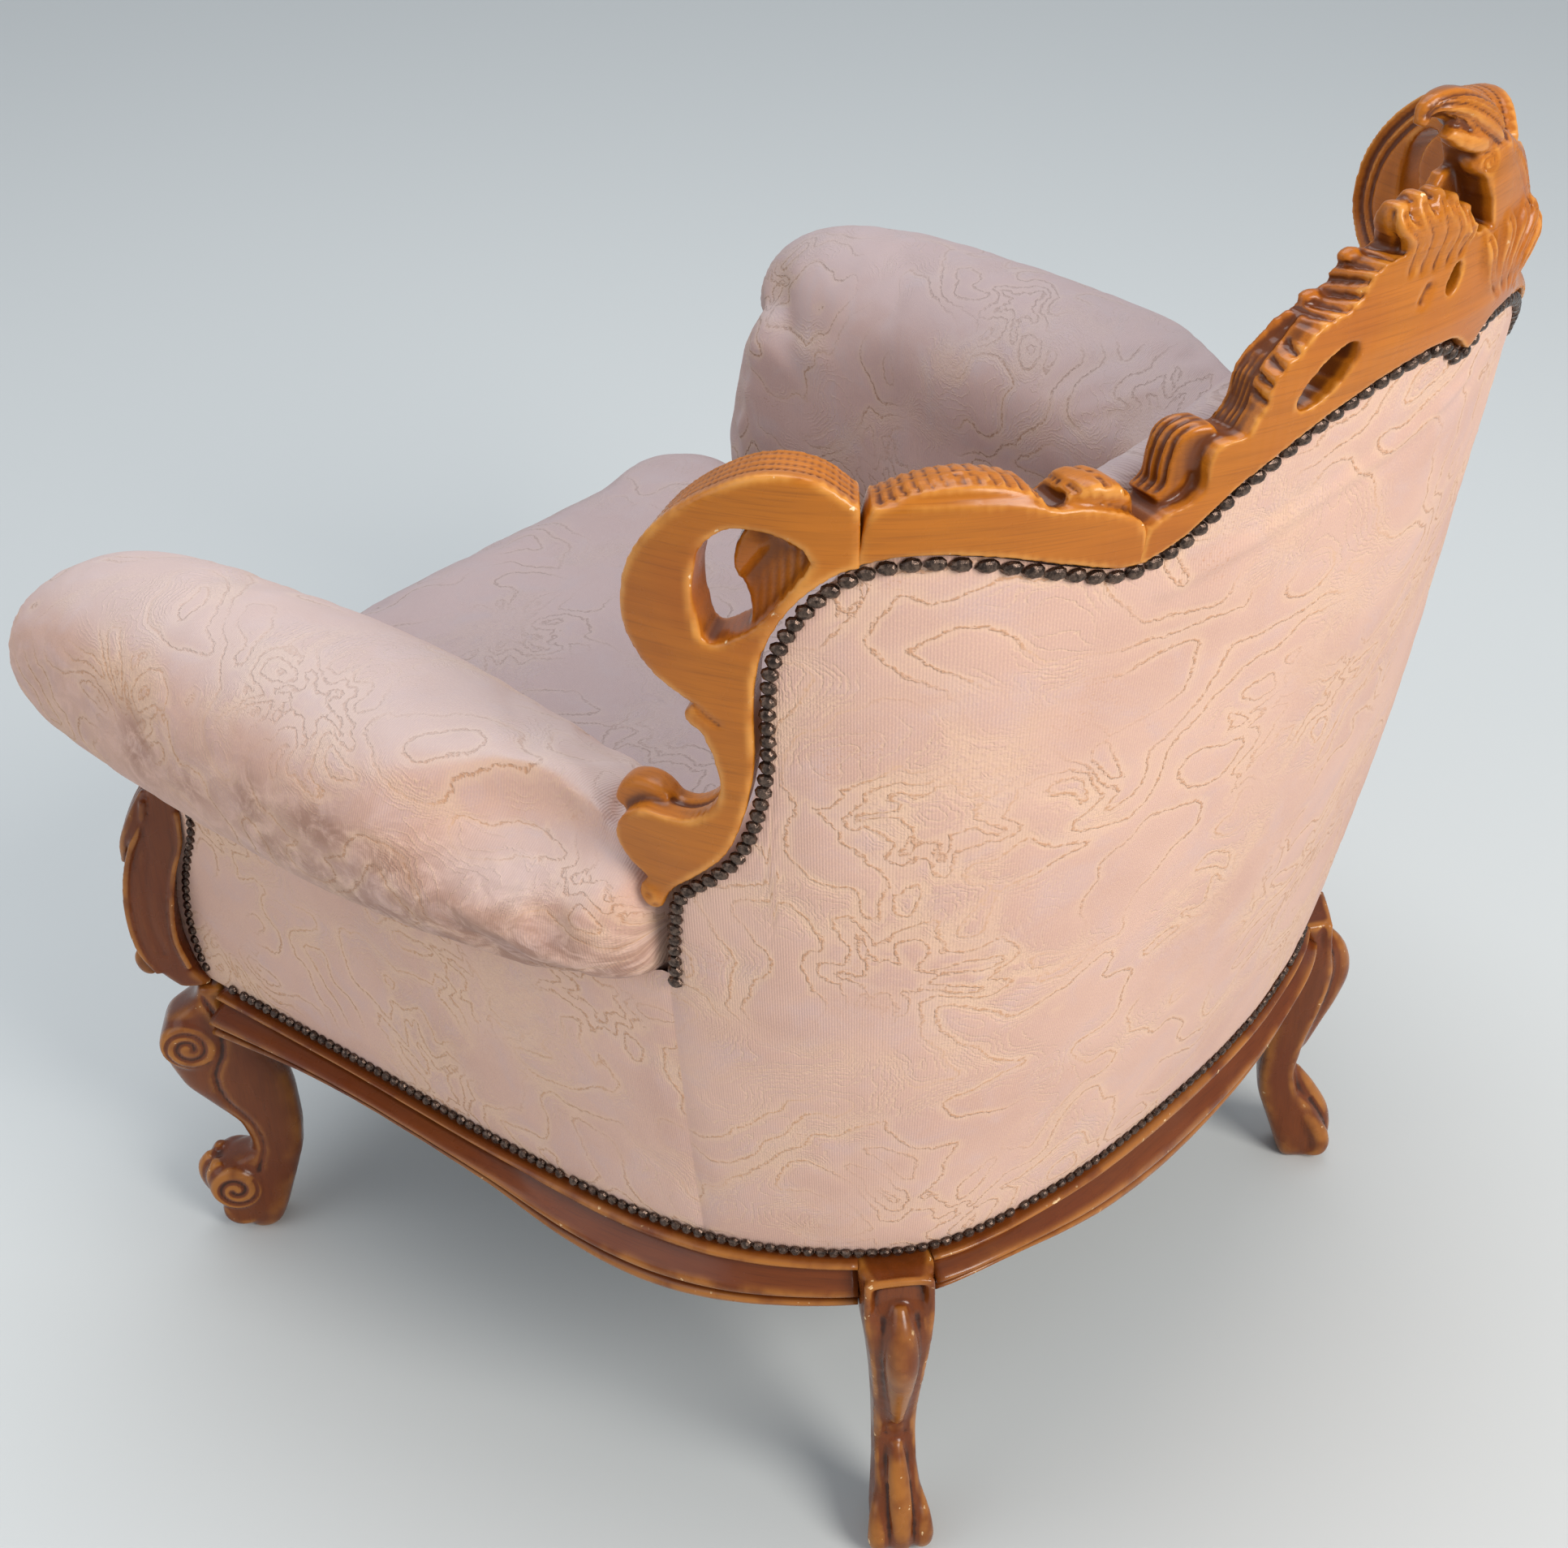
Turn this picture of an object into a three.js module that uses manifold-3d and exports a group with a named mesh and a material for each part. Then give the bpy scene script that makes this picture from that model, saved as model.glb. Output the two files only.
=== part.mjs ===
// An old upholstered armchair with a carved show-wood frame, in millimetres, +Z up.
// The chair faces -Y. The sitter's left arm is at +X. The floor is z = 0.
//
// Most pieces follow the tub of the chair, so they are placed with three numbers:
//   s    the distance along the plan of the base rail, from the middle of the back
//   z    the height above the floor
//   out  the distance outwards from the face of the outside cover

import * as THREE from 'three';
import { TessellateModifier } from 'three/addons/modifiers/TessellateModifier.js';
import * as BufferGeometryUtils from 'three/addons/utils/BufferGeometryUtils.js';
import Module from 'manifold-3d';

const wasm = await Module();
wasm.setup();

// ---------------------------------------------------------------- driving dimensions

const FRAME_SHIFT_Y = -22.3;        // brings the middle of the chair's depth to y = 0
const RAIL_TOP = 270;             // top of the moulded base rail
const PLAN_LEVEL = 270;           // height at which PLAN holds
const MID_LEVEL = 600;            // height at which LEAN_MID holds
const TOP_LEVEL = 950;            // height at which LEAN_TOP holds; upright above it
const GAP = 0.5;                  // air between pieces that touch
const LONGEST_FLAT_EDGE = 44;     // longest straight facet edge on a bent panel

// Half of the base plan, from the middle of the back to the front of an arm.
const PLAN = [
  [0, 347], [141, 337], [247, 303], [318, 220], [348, 140],
  [366, 0], [376, -150], [388, -307], [392, -365], [397, -425],
];

// How far the cover leans out over the plan, along s.
const LEAN_S = [0, 120, 240, 330, 430, 600, 900, 1010];
const LEAN_MID = [78, 68, 57, 51, 36, 22, 2, 0];
const LEAN_TOP = [142, 118, 75, 66, 50, 35, 2, 0];

const COVER_THICK = 4;            // outside cover with its backing
const COVER_FOOT = 272;           // where the covers start above the rail
const SEAM_S = 408;               // upright seam between the back and side covers
const WOOD_IN = -44;              // inner face of the top frame
const WOOD_OUT = 5;               // outer face of the top frame
const NAIL_WIDTH = 9;
const NAIL_HIGH = 4.5;
const NAIL_LIFT = 1;
const FRAME_OUT = -8;             // outer face of the hidden frame
const FRAME_IN = -34;             // inner face of the hidden frame
const SEAT_FRAME_LOW = 285;
const SEAT_FRAME_TOP = 333;
const ARM_RAIL_LOW = 452;
const ARM_RAIL_TOP = 488;

// Line of the nails under the top frame: [s, z], from behind the arm roll to the middle.
const NAIL_LINE = [
  [403, 531], [400, 574], [394, 608], [376, 630], [361, 651], [349, 685], [342, 726],
  [341, 766], [337, 800], [320, 837], [297, 859], [275, 865], [250, 861], [221, 849],
  [193, 840], [167, 851], [133, 883], [91, 913], [55, 928], [22, 931], [0, 917],
];

const FRONT_PLAN = [[-383, -337], [-250, -384], [0, -408], [250, -384], [383, -337]];
const POST_BASE = [379, -321];    // foot of the diagonal plane that holds front leg and arm post
const REAR_LEG_S = 272;           // place of a rear leg along the plan

// ---------------------------------------------------------------- colours

const finish = {
  wood: { color: 0x8a4516, roughness: 0.35, metalness: 0 },
  topWood: { color: 0xb4682a, roughness: 0.35, metalness: 0 },
  rawWood: { color: 0xc9a878, roughness: 0.8, metalness: 0 },
  fabric: { color: 0xc9a596, roughness: 0.9, metalness: 0 },
  webbing: { color: 0x8d8676, roughness: 0.95, metalness: 0 },
  lining: { color: 0x2b2a29, roughness: 0.95, metalness: 0 },
  nail: { color: 0x4a382c, roughness: 0.4, metalness: 0.8 },
};

const chair = new THREE.Group();

function addPiece(name, geometry, look) {
  const piece = new THREE.Mesh(facingOut(geometry), new THREE.MeshStandardMaterial(finish[look]));
  piece.name = name;
  chair.add(piece);
}

// ---------------------------------------------------------------- small helpers

const lerp = THREE.MathUtils.lerp;

/** Smooth value at x through the points (xs, ys), the same on both sides of x = 0. */
function smoothTable(xs, ys, x) {
  const a = THREE.MathUtils.clamp(Math.abs(x), xs[0], xs[xs.length - 1]);
  let i = 0;
  while (i < xs.length - 2 && a > xs[i + 1]) {
    i += 1;
  }
  const slope = (k) => {
    const lo = Math.max(k - 1, 0);
    const hi = Math.min(k + 1, xs.length - 1);
    return (ys[hi] - ys[lo]) / (xs[hi] - xs[lo]);
  };
  const span = xs[i + 1] - xs[i];
  const t = (a - xs[i]) / span;
  const start = i === 0 ? 0 : slope(i);
  const end = slope(i + 1);
  return (2 * t ** 3 - 3 * t ** 2 + 1) * ys[i] + (t ** 3 - 2 * t ** 2 + t) * span * start
    + (3 * t ** 2 - 2 * t ** 3) * ys[i + 1] + (t ** 3 - t ** 2) * span * end;
}

function mirrored(points) {
  const left = points.slice(1).reverse().map(([a, b]) => [-a, b]);
  return [...left, ...points];
}

function curveThrough(points) {
  return new THREE.CatmullRomCurve3(points.map(([a, b]) => new THREE.Vector3(a, b, 0)));
}

const plan = curveThrough(mirrored(PLAN));
plan.arcLengthDivisions = 600;
const planHalf = plan.getLength() / 2;

function leanAt(s, z) {
  const mid = smoothTable(LEAN_S, LEAN_MID, s);
  const top = smoothTable(LEAN_S, LEAN_TOP, s);
  const t = (Math.min(z, TOP_LEVEL) - PLAN_LEVEL) / (MID_LEVEL - PLAN_LEVEL);
  const tTop = (TOP_LEVEL - PLAN_LEVEL) / (MID_LEVEL - PLAN_LEVEL);
  const bend = (top - mid * tTop) / (tTop * tTop - tTop);
  return (mid - bend) * t + bend * t * t;
}

/** The point at s, z and out on the tub of the chair. */
function tubPoint(s, z, out) {
  const u = THREE.MathUtils.clamp((s + planHalf) / (2 * planHalf), 0, 1);
  const p = plan.getPointAt(u);
  const along = plan.getTangentAt(u);
  const reach = leanAt(s, z) + out;
  return new THREE.Vector3(p.x - along.y * reach, p.y + along.x * reach, z);
}

function facingOut(geometry) {
  const bare = geometry.index ? geometry.toNonIndexed() : geometry;
  const p = bare.attributes.position;
  let volume = 0;
  const a = new THREE.Vector3();
  const b = new THREE.Vector3();
  const c = new THREE.Vector3();
  for (let i = 0; i < p.count; i += 3) {
    a.fromBufferAttribute(p, i);
    b.fromBufferAttribute(p, i + 1);
    c.fromBufferAttribute(p, i + 2);
    volume += a.dot(b.cross(c));
  }
  const solid = new THREE.BufferGeometry();
  solid.setAttribute('position', p.clone());
  if (volume < 0) {
    const q = solid.attributes.position;
    for (let i = 0; i < q.count; i += 3) {
      b.fromBufferAttribute(q, i + 1);
      c.fromBufferAttribute(q, i + 2);
      q.setXYZ(i + 1, c.x, c.y, c.z);
      q.setXYZ(i + 2, b.x, b.y, b.z);
    }
  }
  const welded = BufferGeometryUtils.mergeVertices(solid, 1e-3);
  const corners = welded.index.array;
  const kept = [];
  for (let i = 0; i < corners.length; i += 3) {
    const [j, k, l] = corners.slice(i, i + 3);
    if (j !== k && k !== l && l !== j) {
      kept.push(j, k, l);
    }
  }
  welded.setIndex(kept);
  welded.computeVertexNormals();
  return welded;
}

/** A closed body through rings of points, all with the same count, with flat ends. */
function loft(rings) {
  const count = rings[0].length;
  const points = rings.flat();
  const faces = [];
  for (let r = 0; r < rings.length - 1; r += 1) {
    for (let i = 0; i < count; i += 1) {
      const j = (i + 1) % count;
      const lo = r * count;
      const hi = lo + count;
      faces.push(lo + i, lo + j, hi + j, lo + i, hi + j, hi + i);
    }
  }
  [rings[0], rings[rings.length - 1]].forEach((ring, end) => {
    const middle = ring.reduce((sum, p) => sum.add(p), new THREE.Vector3()).divideScalar(count);
    const hub = points.push(middle) - 1;
    const base = end === 0 ? 0 : (rings.length - 1) * count;
    for (let i = 0; i < count; i += 1) {
      const j = (i + 1) % count;
      faces.push(...(end === 0 ? [hub, base + j, base + i] : [hub, base + i, base + j]));
    }
  });
  const geometry = new THREE.BufferGeometry().setFromPoints(points);
  geometry.setIndex(faces);
  return geometry;
}

/**
 * A sheet with thickness on the tub. place(u, v) gives [s, z] for u, v from 0 to 1;
 * inner and outer give the out of its two faces, as numbers or functions of u and v.
 */
function sheet({ place, inner, outer, columns, rows }) {
  const value = (f, u, v) => (typeof f === 'function' ? f(u, v) : f);
  const rings = [];
  for (let i = 0; i <= columns; i += 1) {
    const u = i / columns;
    const front = [];
    const back = [];
    for (let j = 0; j <= rows; j += 1) {
      const v = j / rows;
      const [s, z] = place(u, v);
      front.push(tubPoint(s, z, value(outer, u, v)));
      back.push(tubPoint(s, z, value(inner, u, v)));
    }
    rings.push([...front, ...back.reverse()]);
  }
  return stripCapped(rings, rows);
}

/** Joins rings made of a row of front points and the same row of back points, in reverse. */
function stripCapped(rings, rows) {
  const count = rings[0].length;
  const points = rings.flat();
  const faces = [];
  for (let r = 0; r < rings.length - 1; r += 1) {
    for (let i = 0; i < count; i += 1) {
      const j = (i + 1) % count;
      const lo = r * count;
      const hi = lo + count;
      faces.push(lo + i, lo + j, hi + j, lo + i, hi + j, hi + i);
    }
  }
  const last = (rings.length - 1) * count;
  for (let j = 0; j < rows; j += 1) {
    const k = count - 1 - j;
    faces.push(j, k, k - 1, j, k - 1, j + 1);
    faces.push(last + j, last + k - 1, last + k, last + j, last + j + 1, last + k - 1);
  }
  const geometry = new THREE.BufferGeometry().setFromPoints(points);
  geometry.setIndex(faces);
  return geometry;
}

/** Points for a shape, turned to run clockwise or the other way. */
function wound(points, clockwise) {
  const path = points.map(([s, z]) => new THREE.Vector2(s, z));
  return THREE.ShapeUtils.isClockWise(path) === clockwise ? path : path.reverse();
}

/** A flat outline in s and z, with holes, bent onto the tub between two depths. */
function bentPanel(outline, holes, inner, outer) {
  const shape = new THREE.Shape(wound(outline, false));
  shape.holes = holes.map((hole) => new THREE.Path(wound(hole, true)));
  const flat = new THREE.ExtrudeGeometry(shape, { depth: 1, steps: 1, bevelEnabled: false });
  const geometry = new TessellateModifier(LONGEST_FLAT_EDGE, 10).modify(flat);
  const p = geometry.attributes.position;
  for (let i = 0; i < p.count; i += 1) {
    const at = tubPoint(p.getX(i), p.getY(i), lerp(inner, outer, p.getZ(i)));
    p.setXYZ(i, at.x, at.y, at.z);
  }
  return geometry;
}

function ellipse(s, z, long, short, turn, steps = 14) {
  return Array.from({ length: steps }, (_, i) => {
    const a = (i / steps) * 2 * Math.PI;
    const x = long * Math.cos(a);
    const y = short * Math.sin(a);
    return [s + x * Math.cos(turn) - y * Math.sin(turn), z + x * Math.sin(turn) + y * Math.cos(turn)];
  });
}

const nailCurve = curveThrough(mirrored([...NAIL_LINE].reverse()));

/** Points beside the nail line from parameter a to b, moved by shift towards the wood. */
function besideNails(a, b, steps, shift) {
  return Array.from({ length: steps + 1 }, (_, i) => {
    const t = lerp(a, b, i / steps);
    const p = nailCurve.getPointAt(t);
    const d = nailCurve.getTangentAt(t);
    return [p.x - d.y * shift, p.y + d.x * shift];
  });
}

/** The parameter of the nail line at which it passes s, on the side of +s. */
function nailParameter(s) {
  let lo = 0.5;
  let hi = 1;
  for (let i = 0; i < 40; i += 1) {
    const mid = (lo + hi) / 2;
    if (nailCurve.getPointAt(mid).x < s) {
      lo = mid;
    } else {
      hi = mid;
    }
  }
  return lo;
}

function nailHeight(s) {
  return nailCurve.getPointAt(nailParameter(Math.abs(s))).y;
}

/** Builds a left and a right copy of a piece; side is 1 for +X and -1 for -X. */
function bothSides(name, look, make) {
  addPiece(`${name}_left`, make(1), look);
  addPiece(`${name}_right`, make(-1), look);
}

// ---------------------------------------------------------------- base rails

// Section of the rail: [out, share of the height], a bead, a hollow, a round and a lower bead.
const RAIL_SECTION = [
  [-24, 1], [3, 1], [8, 0.93], [9, 0.84], [6, 0.76], [11, 0.62], [18, 0.48],
  [20, 0.36], [15, 0.27], [19, 0.17], [17, 0.04], [12, 0], [-24, 0],
];
const RAIL_FOOT_S = [0, 70, 144, 200, 246, 300, 385, 450, 520, 600, 700, 790, 900];
const RAIL_FOOT_Z = [202, 213, 232, 243, 238, 229, 220, 214, 221, 243, 250, 247, 230];

function railRing(s) {
  const foot = smoothTable(RAIL_FOOT_S, RAIL_FOOT_Z, s);
  return RAIL_SECTION.map(([out, share]) => tubPoint(s, lerp(foot, RAIL_TOP, share), out));
}

function tubRail(from, to, steps) {
  return loft(Array.from({ length: steps + 1 }, (_, i) => railRing(lerp(from, to, i / steps))));
}

const REAR_BLOCK = 30;            // half the width kept free for a rear leg, along s
const FRONT_BLOCK_S = 872;        // the side rails stop here, at the front legs

addPiece('base_rail_back', tubRail(-REAR_LEG_S + REAR_BLOCK, REAR_LEG_S - REAR_BLOCK, 16), 'wood');
bothSides('base_rail', 'wood', (side) => (
  tubRail(side * (REAR_LEG_S + REAR_BLOCK), side * FRONT_BLOCK_S, 18)
));

const frontPlan = curveThrough(FRONT_PLAN);

/** A point on the bowed front; t runs from 0 at the right corner to 1 at the left corner. */
function frontPoint(t, z, out) {
  const p = frontPlan.getPointAt(t);
  const along = frontPlan.getTangentAt(t);
  return new THREE.Vector3(p.x + along.y * out, p.y - along.x * out, z);
}

const FRONT_RAIL_INSET = 0.035;   // share of the front kept free for each front leg
const FRONT_FOOT_Z = 214;         // middle height of the waved lower edge of the front rail
const FRONT_FOOT_WAVE = 28;       // how far that edge waves up and down

function frontRail() {
  const steps = 14;
  const rings = [];
  for (let i = 0; i <= steps; i += 1) {
    const t = lerp(FRONT_RAIL_INSET, 1 - FRONT_RAIL_INSET, i / steps);
    const foot = FRONT_FOOT_Z - FRONT_FOOT_WAVE * Math.cos(4 * Math.PI * t);
    rings.push(RAIL_SECTION.map(([out, share]) => frontPoint(t, lerp(foot, RAIL_TOP, share), out)));
  }
  return loft(rings);
}

addPiece('base_rail_front', frontRail(), 'wood');

// ---------------------------------------------------------------- legs and arm posts

/** A ring with rounded corners, wide across and deep along the diagonal, at [reach, z]. */
function diagonalRing(base, along, reach, z, deep, wide, tilt = 0) {
  const across = new THREE.Vector3(-along.y, along.x, 0);
  const points = [];
  const sides = 12;
  for (let i = 0; i < sides; i += 1) {
    const a = ((i + 0.5) / sides) * 2 * Math.PI;
    const square = Math.max(Math.abs(Math.cos(a)), Math.abs(Math.sin(a))) ** 0.55;
    const d = (deep / 2) * (Math.cos(a) / square);
    const w = (wide / 2) * (Math.sin(a) / square);
    const p = new THREE.Vector3(base[0], base[1], z + d * Math.sin(tilt));
    p.addScaledVector(along, reach + d * Math.cos(tilt));
    p.addScaledVector(across, w);
    points.push(p);
  }
  return points;
}

// [reach, z, deep, wide, tilt] from the floor up. The foot is one scroll, the knee another.
const FRONT_LEG = [
  [2, 0, 22, 34, 0], [2, 6, 38, 42, 0], [4, 28, 56, 46, 0], [4, 50, 66, 44, 0.1],
  [-6, 72, 62, 36, 0.25], [-24, 92, 42, 32, 0.3], [-24, 116, 44, 33, -0.1],
  [-10, 142, 60, 36, -0.35], [4, 170, 80, 42, -0.4], [14, 198, 78, 46, -0.2],
  [18, 226, 66, 46, 0], [12, 252, 44, 40, 0], [8, 268, 34, 34, 0],
];
const REAR_LEG = [
  [24, 0, 24, 36, 0], [23, 6, 40, 48, 0], [22, 24, 50, 50, 0], [16, 44, 48, 44, 0.1],
  [4, 66, 38, 36, 0.3], [-2, 92, 32, 34, 0.1], [0, 124, 34, 36, -0.2],
  [6, 160, 42, 40, -0.3], [10, 196, 48, 46, -0.1], [8, 226, 50, 50, 0],
  [0, 250, 46, 54, 0], [-2, 268, 44, 54, 0],
];

function leg(profile, base, along) {
  return loft(profile.map(([reach, z, deep, wide, tilt]) => (
    diagonalRing(base, along, reach, z, deep, wide, tilt)
  )));
}

function frontCorner(side) {
  return {
    base: [side * POST_BASE[0], POST_BASE[1]],
    along: new THREE.Vector3(side, -1, 0).normalize(),
  };
}

function rearCorner(side) {
  const at = tubPoint(side * REAR_LEG_S, PLAN_LEVEL, 0);
  const further = tubPoint(side * REAR_LEG_S, PLAN_LEVEL, 1);
  return { base: [at.x, at.y], along: further.sub(at) };
}

bothSides('front_leg', 'wood', (side) => {
  const { base, along } = frontCorner(side);
  return leg(FRONT_LEG, base, along);
});
bothSides('rear_leg', 'wood', (side) => {
  const { base, along } = rearCorner(side);
  return leg(REAR_LEG, base, along);
});

const ARM_POST = [
  [14, 269.5, 30, 32, 0], [22, 280, 30, 34, 0.5], [32, 297, 32, 36, 0.2], [38, 322, 33, 38, 0],
  [38, 350, 34, 38, 0], [34, 377, 34, 38, -0.2], [25, 404, 30, 36, -0.5], [14, 428, 28, 34, -0.3],
  [10, 455, 26, 34, 0], [10, 500, 26, 34, 0],
];

bothSides('arm_post', 'wood', (side) => {
  const { base, along } = frontCorner(side);
  return leg(ARM_POST, base, along);
});

// ---------------------------------------------------------------- top frame

const WOOD_SHIFT = 6.5;           // from the nail line to the edge of the wood
const JOINT_S = 297;              // joint between side scroll and shoulder rail
const CREST_S = 186;              // joint between shoulder rail and crest rail

const flip = (side, points) => points.map(([s, z]) => [side * s, z]);

const jointT = nailParameter(JOINT_S);
const crestT = nailParameter(CREST_S);
const SCROLL_END_S = 393;         // lowest end of the side scroll
const scrollEndT = nailParameter(SCROLL_END_S);

const SCROLL_OUTLINE = [
  [298, 901], [316, 918], [340, 922], [368, 907], [391, 880], [407, 845], [410, 805],
  [396, 777], [377, 762], [382, 753], [374, 743], [368, 716], [370, 692], [386, 674],
  [404, 676], [422, 664], [430, 646], [423, 629], [411, 620], [416, 607], [409, 597], [403, 604],
];
const SCROLL_HOLE = [
  [369, 806], [356, 814], [346, 822], [335, 838], [324, 856], [319, 867], [326, 877],
  [342, 882], [358, 881], [370, 868], [375, 845], [374, 822],
];

function sideScroll(side) {
  const lower = besideNails(scrollEndT, jointT, 18, WOOD_SHIFT);
  const start = lower[lower.length - 1];
  const outline = [[JOINT_S + GAP, start[1]], ...SCROLL_OUTLINE, ...lower.slice(0, -1)];
  return bentPanel(flip(side, outline), [flip(side, SCROLL_HOLE)], WOOD_IN, WOOD_OUT);
}

const SHOULDER_TOP = [
  [187, 872], [192, 887], [202, 901], [213, 903], [225, 893], [240, 906], [262, 913],
  [280, 909], [295, 901],
];

function shoulderRail(side) {
  const lower = besideNails(jointT, crestT, 12, WOOD_SHIFT);
  const outline = [...lower, ...SHOULDER_TOP];
  outline[0] = [JOINT_S - GAP, outline[0][1]];
  outline[outline.length - 1] = [JOINT_S - GAP, 900];
  outline[lower.length - 1] = [CREST_S + GAP, outline[lower.length - 1][1]];
  outline[lower.length] = [CREST_S + GAP, 872];
  return bentPanel(flip(side, outline), [], WOOD_IN, WOOD_OUT);
}

bothSides('side_scroll', 'topWood', sideScroll);
bothSides('shoulder_rail', 'topWood', shoulderRail);

// The rising half of the crest rail, from the joint up to the leaves beside the middle.
const CREST_RISE = [
  [185, 874], [175, 888], [169, 906], [177, 924], [169, 938], [154, 930], [141, 918],
  [134, 930], [129, 952], [116, 967], [98, 980], [88, 996], [70, 1004],
];
// The leaves beside the middle, then the hooked top leaf, then the C-scroll on the right. What shows
// left of the hook in the photo is the far side scroll, seen past the crest.
const CREST_SCROLLS = [
  [74, 1022], [62, 1034], [48, 1034], [36, 1028], [25, 1018], [14, 1022], [11, 1034], [18, 1046],
  [32, 1054], [48, 1064], [57, 1074], [50, 1084], [26, 1087], [2, 1076], [-18, 1058], [-40, 1036],
  [-60, 1014], [-78, 990], [-90, 968],
];

function crestRail() {
  const rightRise = CREST_RISE.slice(0, 10).map(([s, z]) => [-s, z]).reverse();
  const lower = besideNails(1 - crestT, crestT, 40, WOOD_SHIFT);
  lower[0] = [-CREST_S + GAP, lower[0][1]];
  lower[lower.length - 1] = [CREST_S - GAP, lower[lower.length - 1][1]];
  const outline = [...lower, ...CREST_RISE, ...CREST_SCROLLS, ...rightRise];
  const holes = [
    ellipse(103, 942, 20, 8.5, -0.9),
    ellipse(-103, 942, 20, 8.5, 0.9),
    ellipse(30, 977, 9, 4.5, 1.9, 10),
  ];
  return bentPanel(outline, holes, WOOD_IN, WOOD_OUT);
}

addPiece('crest_rail', crestRail(), 'topWood');

// ---------------------------------------------------------------- hidden frame

const level = (from, to, low, high) => (u, v) => [lerp(from, to, u), lerp(low, high, v)];

function frameBar(from, to, low, high, columns, inner = FRAME_IN, outer = FRAME_OUT) {
  return sheet({ place: level(from, to, low, high), inner, outer, columns, rows: 1 });
}

function frontBar(low, high, inner, outer, from = 0.06, to = 0.94, steps = 10) {
  const rings = [];
  for (let i = 0; i <= steps; i += 1) {
    const t = lerp(from, to, i / steps);
    rings.push([
      frontPoint(t, low, outer), frontPoint(t, high, outer),
      frontPoint(t, high, inner), frontPoint(t, low, inner),
    ]);
  }
  return stripCapped(rings, 1);
}

const FRAME_CORNER_S = 300;
const FRAME_FRONT_S = 850;

addPiece('seat_frame_back',
  frameBar(-FRAME_CORNER_S, FRAME_CORNER_S, SEAT_FRAME_LOW, SEAT_FRAME_TOP, 14), 'rawWood');
bothSides('seat_frame', 'rawWood', (side) => (
  frameBar(side * (FRAME_CORNER_S + 1), side * FRAME_FRONT_S, SEAT_FRAME_LOW, SEAT_FRAME_TOP, 10)
));
const BAR_IN = -36;               // inner face of the front bar and the back stretcher
const BAR_OUT = -12;              // outer face of the front bar and the back stretcher
addPiece('seat_frame_front', frontBar(SEAT_FRAME_LOW, SEAT_FRAME_TOP, BAR_IN, BAR_OUT), 'rawWood');

const BLOCK_LOW = 236;
const BLOCK_TOP = 262;
const BLOCK_HALF = 40;            // half length of a rear corner block, along s
const FRONT_BLOCK_FROM = 790;
const FRONT_BLOCK_TO = 860;
bothSides('rear_corner_block', 'rawWood', (side) => frameBar(
  side * (REAR_LEG_S - BLOCK_HALF), side * (REAR_LEG_S + BLOCK_HALF), BLOCK_LOW, BLOCK_TOP, 4, -66, -32,
));
bothSides('front_corner_block', 'rawWood', (side) => frameBar(
  side * FRONT_BLOCK_FROM, side * FRONT_BLOCK_TO, BLOCK_LOW, BLOCK_TOP, 2, -64, -26,
));

const UPRIGHT_FROM = 268;
const UPRIGHT_TO = 304;
const UPRIGHT_TOP = 855;
const UPRIGHT_IN = -40;
const STRETCHER_LOW = 400;
const STRETCHER_TOP = 440;
const ARM_RAIL_FRONT_S = 868;
bothSides('back_upright', 'rawWood', (side) => (
  sheet({
    place: level(side * UPRIGHT_FROM, side * UPRIGHT_TO, SEAT_FRAME_TOP + GAP, UPRIGHT_TOP),
    inner: UPRIGHT_IN,
    outer: FRAME_OUT,
    columns: 2,
    rows: 6,
  })
));
addPiece('back_stretcher', frameBar(
  -UPRIGHT_FROM + 1, UPRIGHT_FROM - 1, STRETCHER_LOW, STRETCHER_TOP, 12, BAR_IN, BAR_OUT,
), 'rawWood');
bothSides('arm_rail', 'rawWood', (side) => (
  frameBar(side * (UPRIGHT_TO + 1), side * ARM_RAIL_FRONT_S, ARM_RAIL_LOW, ARM_RAIL_TOP, 10)
));

// ---------------------------------------------------------------- webbing

function box(low, high) {
  const size = high.map((value, i) => value - low[i]);
  const geometry = new THREE.BoxGeometry(...size);
  return geometry.translate(...low.map((value, i) => value + size[i] / 2));
}

const STRAP_WIDE = 56;
const STRAP_THICK = 1.8;
const LONG_STRAP_X = [-195, -65, 65, 195];
const LONG_STRAP_ENDS = [[-372, 296], [-388, 322], [-388, 322], [-372, 296]];
const CROSS_STRAP_Y = [-250, -60, 130];
const CROSS_STRAP_REACH = [352, 348, 325];
const BACK_STRAP_Z = [500, 610, 720];
const BACK_STRAP_HALF = 298;
const BACK_STRAP_IN = -42.6;
const BACK_STRAP_OUT = -40.6;

LONG_STRAP_X.forEach((x, i) => {
  const z = SEAT_FRAME_TOP + GAP;
  const [front, back] = LONG_STRAP_ENDS[i];
  const strap = box([x - STRAP_WIDE / 2, front, z], [x + STRAP_WIDE / 2, back, z + STRAP_THICK]);
  addPiece(`seat_strap_long_${i + 1}`, strap, 'webbing');
});
CROSS_STRAP_Y.forEach((y, i) => {
  const z = SEAT_FRAME_TOP + 2 * GAP + STRAP_THICK;
  const reach = CROSS_STRAP_REACH[i];
  const strap = box([-reach, y - STRAP_WIDE / 2, z], [reach, y + STRAP_WIDE / 2, z + STRAP_THICK]);
  addPiece(`seat_strap_cross_${i + 1}`, strap, 'webbing');
});
BACK_STRAP_Z.forEach((z, i) => {
  const strap = frameBar(
    -BACK_STRAP_HALF, BACK_STRAP_HALF, z - STRAP_WIDE / 2, z + STRAP_WIDE / 2, 14,
    BACK_STRAP_IN, BACK_STRAP_OUT,
  );
  addPiece(`back_strap_${i + 1}`, strap, 'webbing');
});

// ---------------------------------------------------------------- soft pieces

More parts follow.
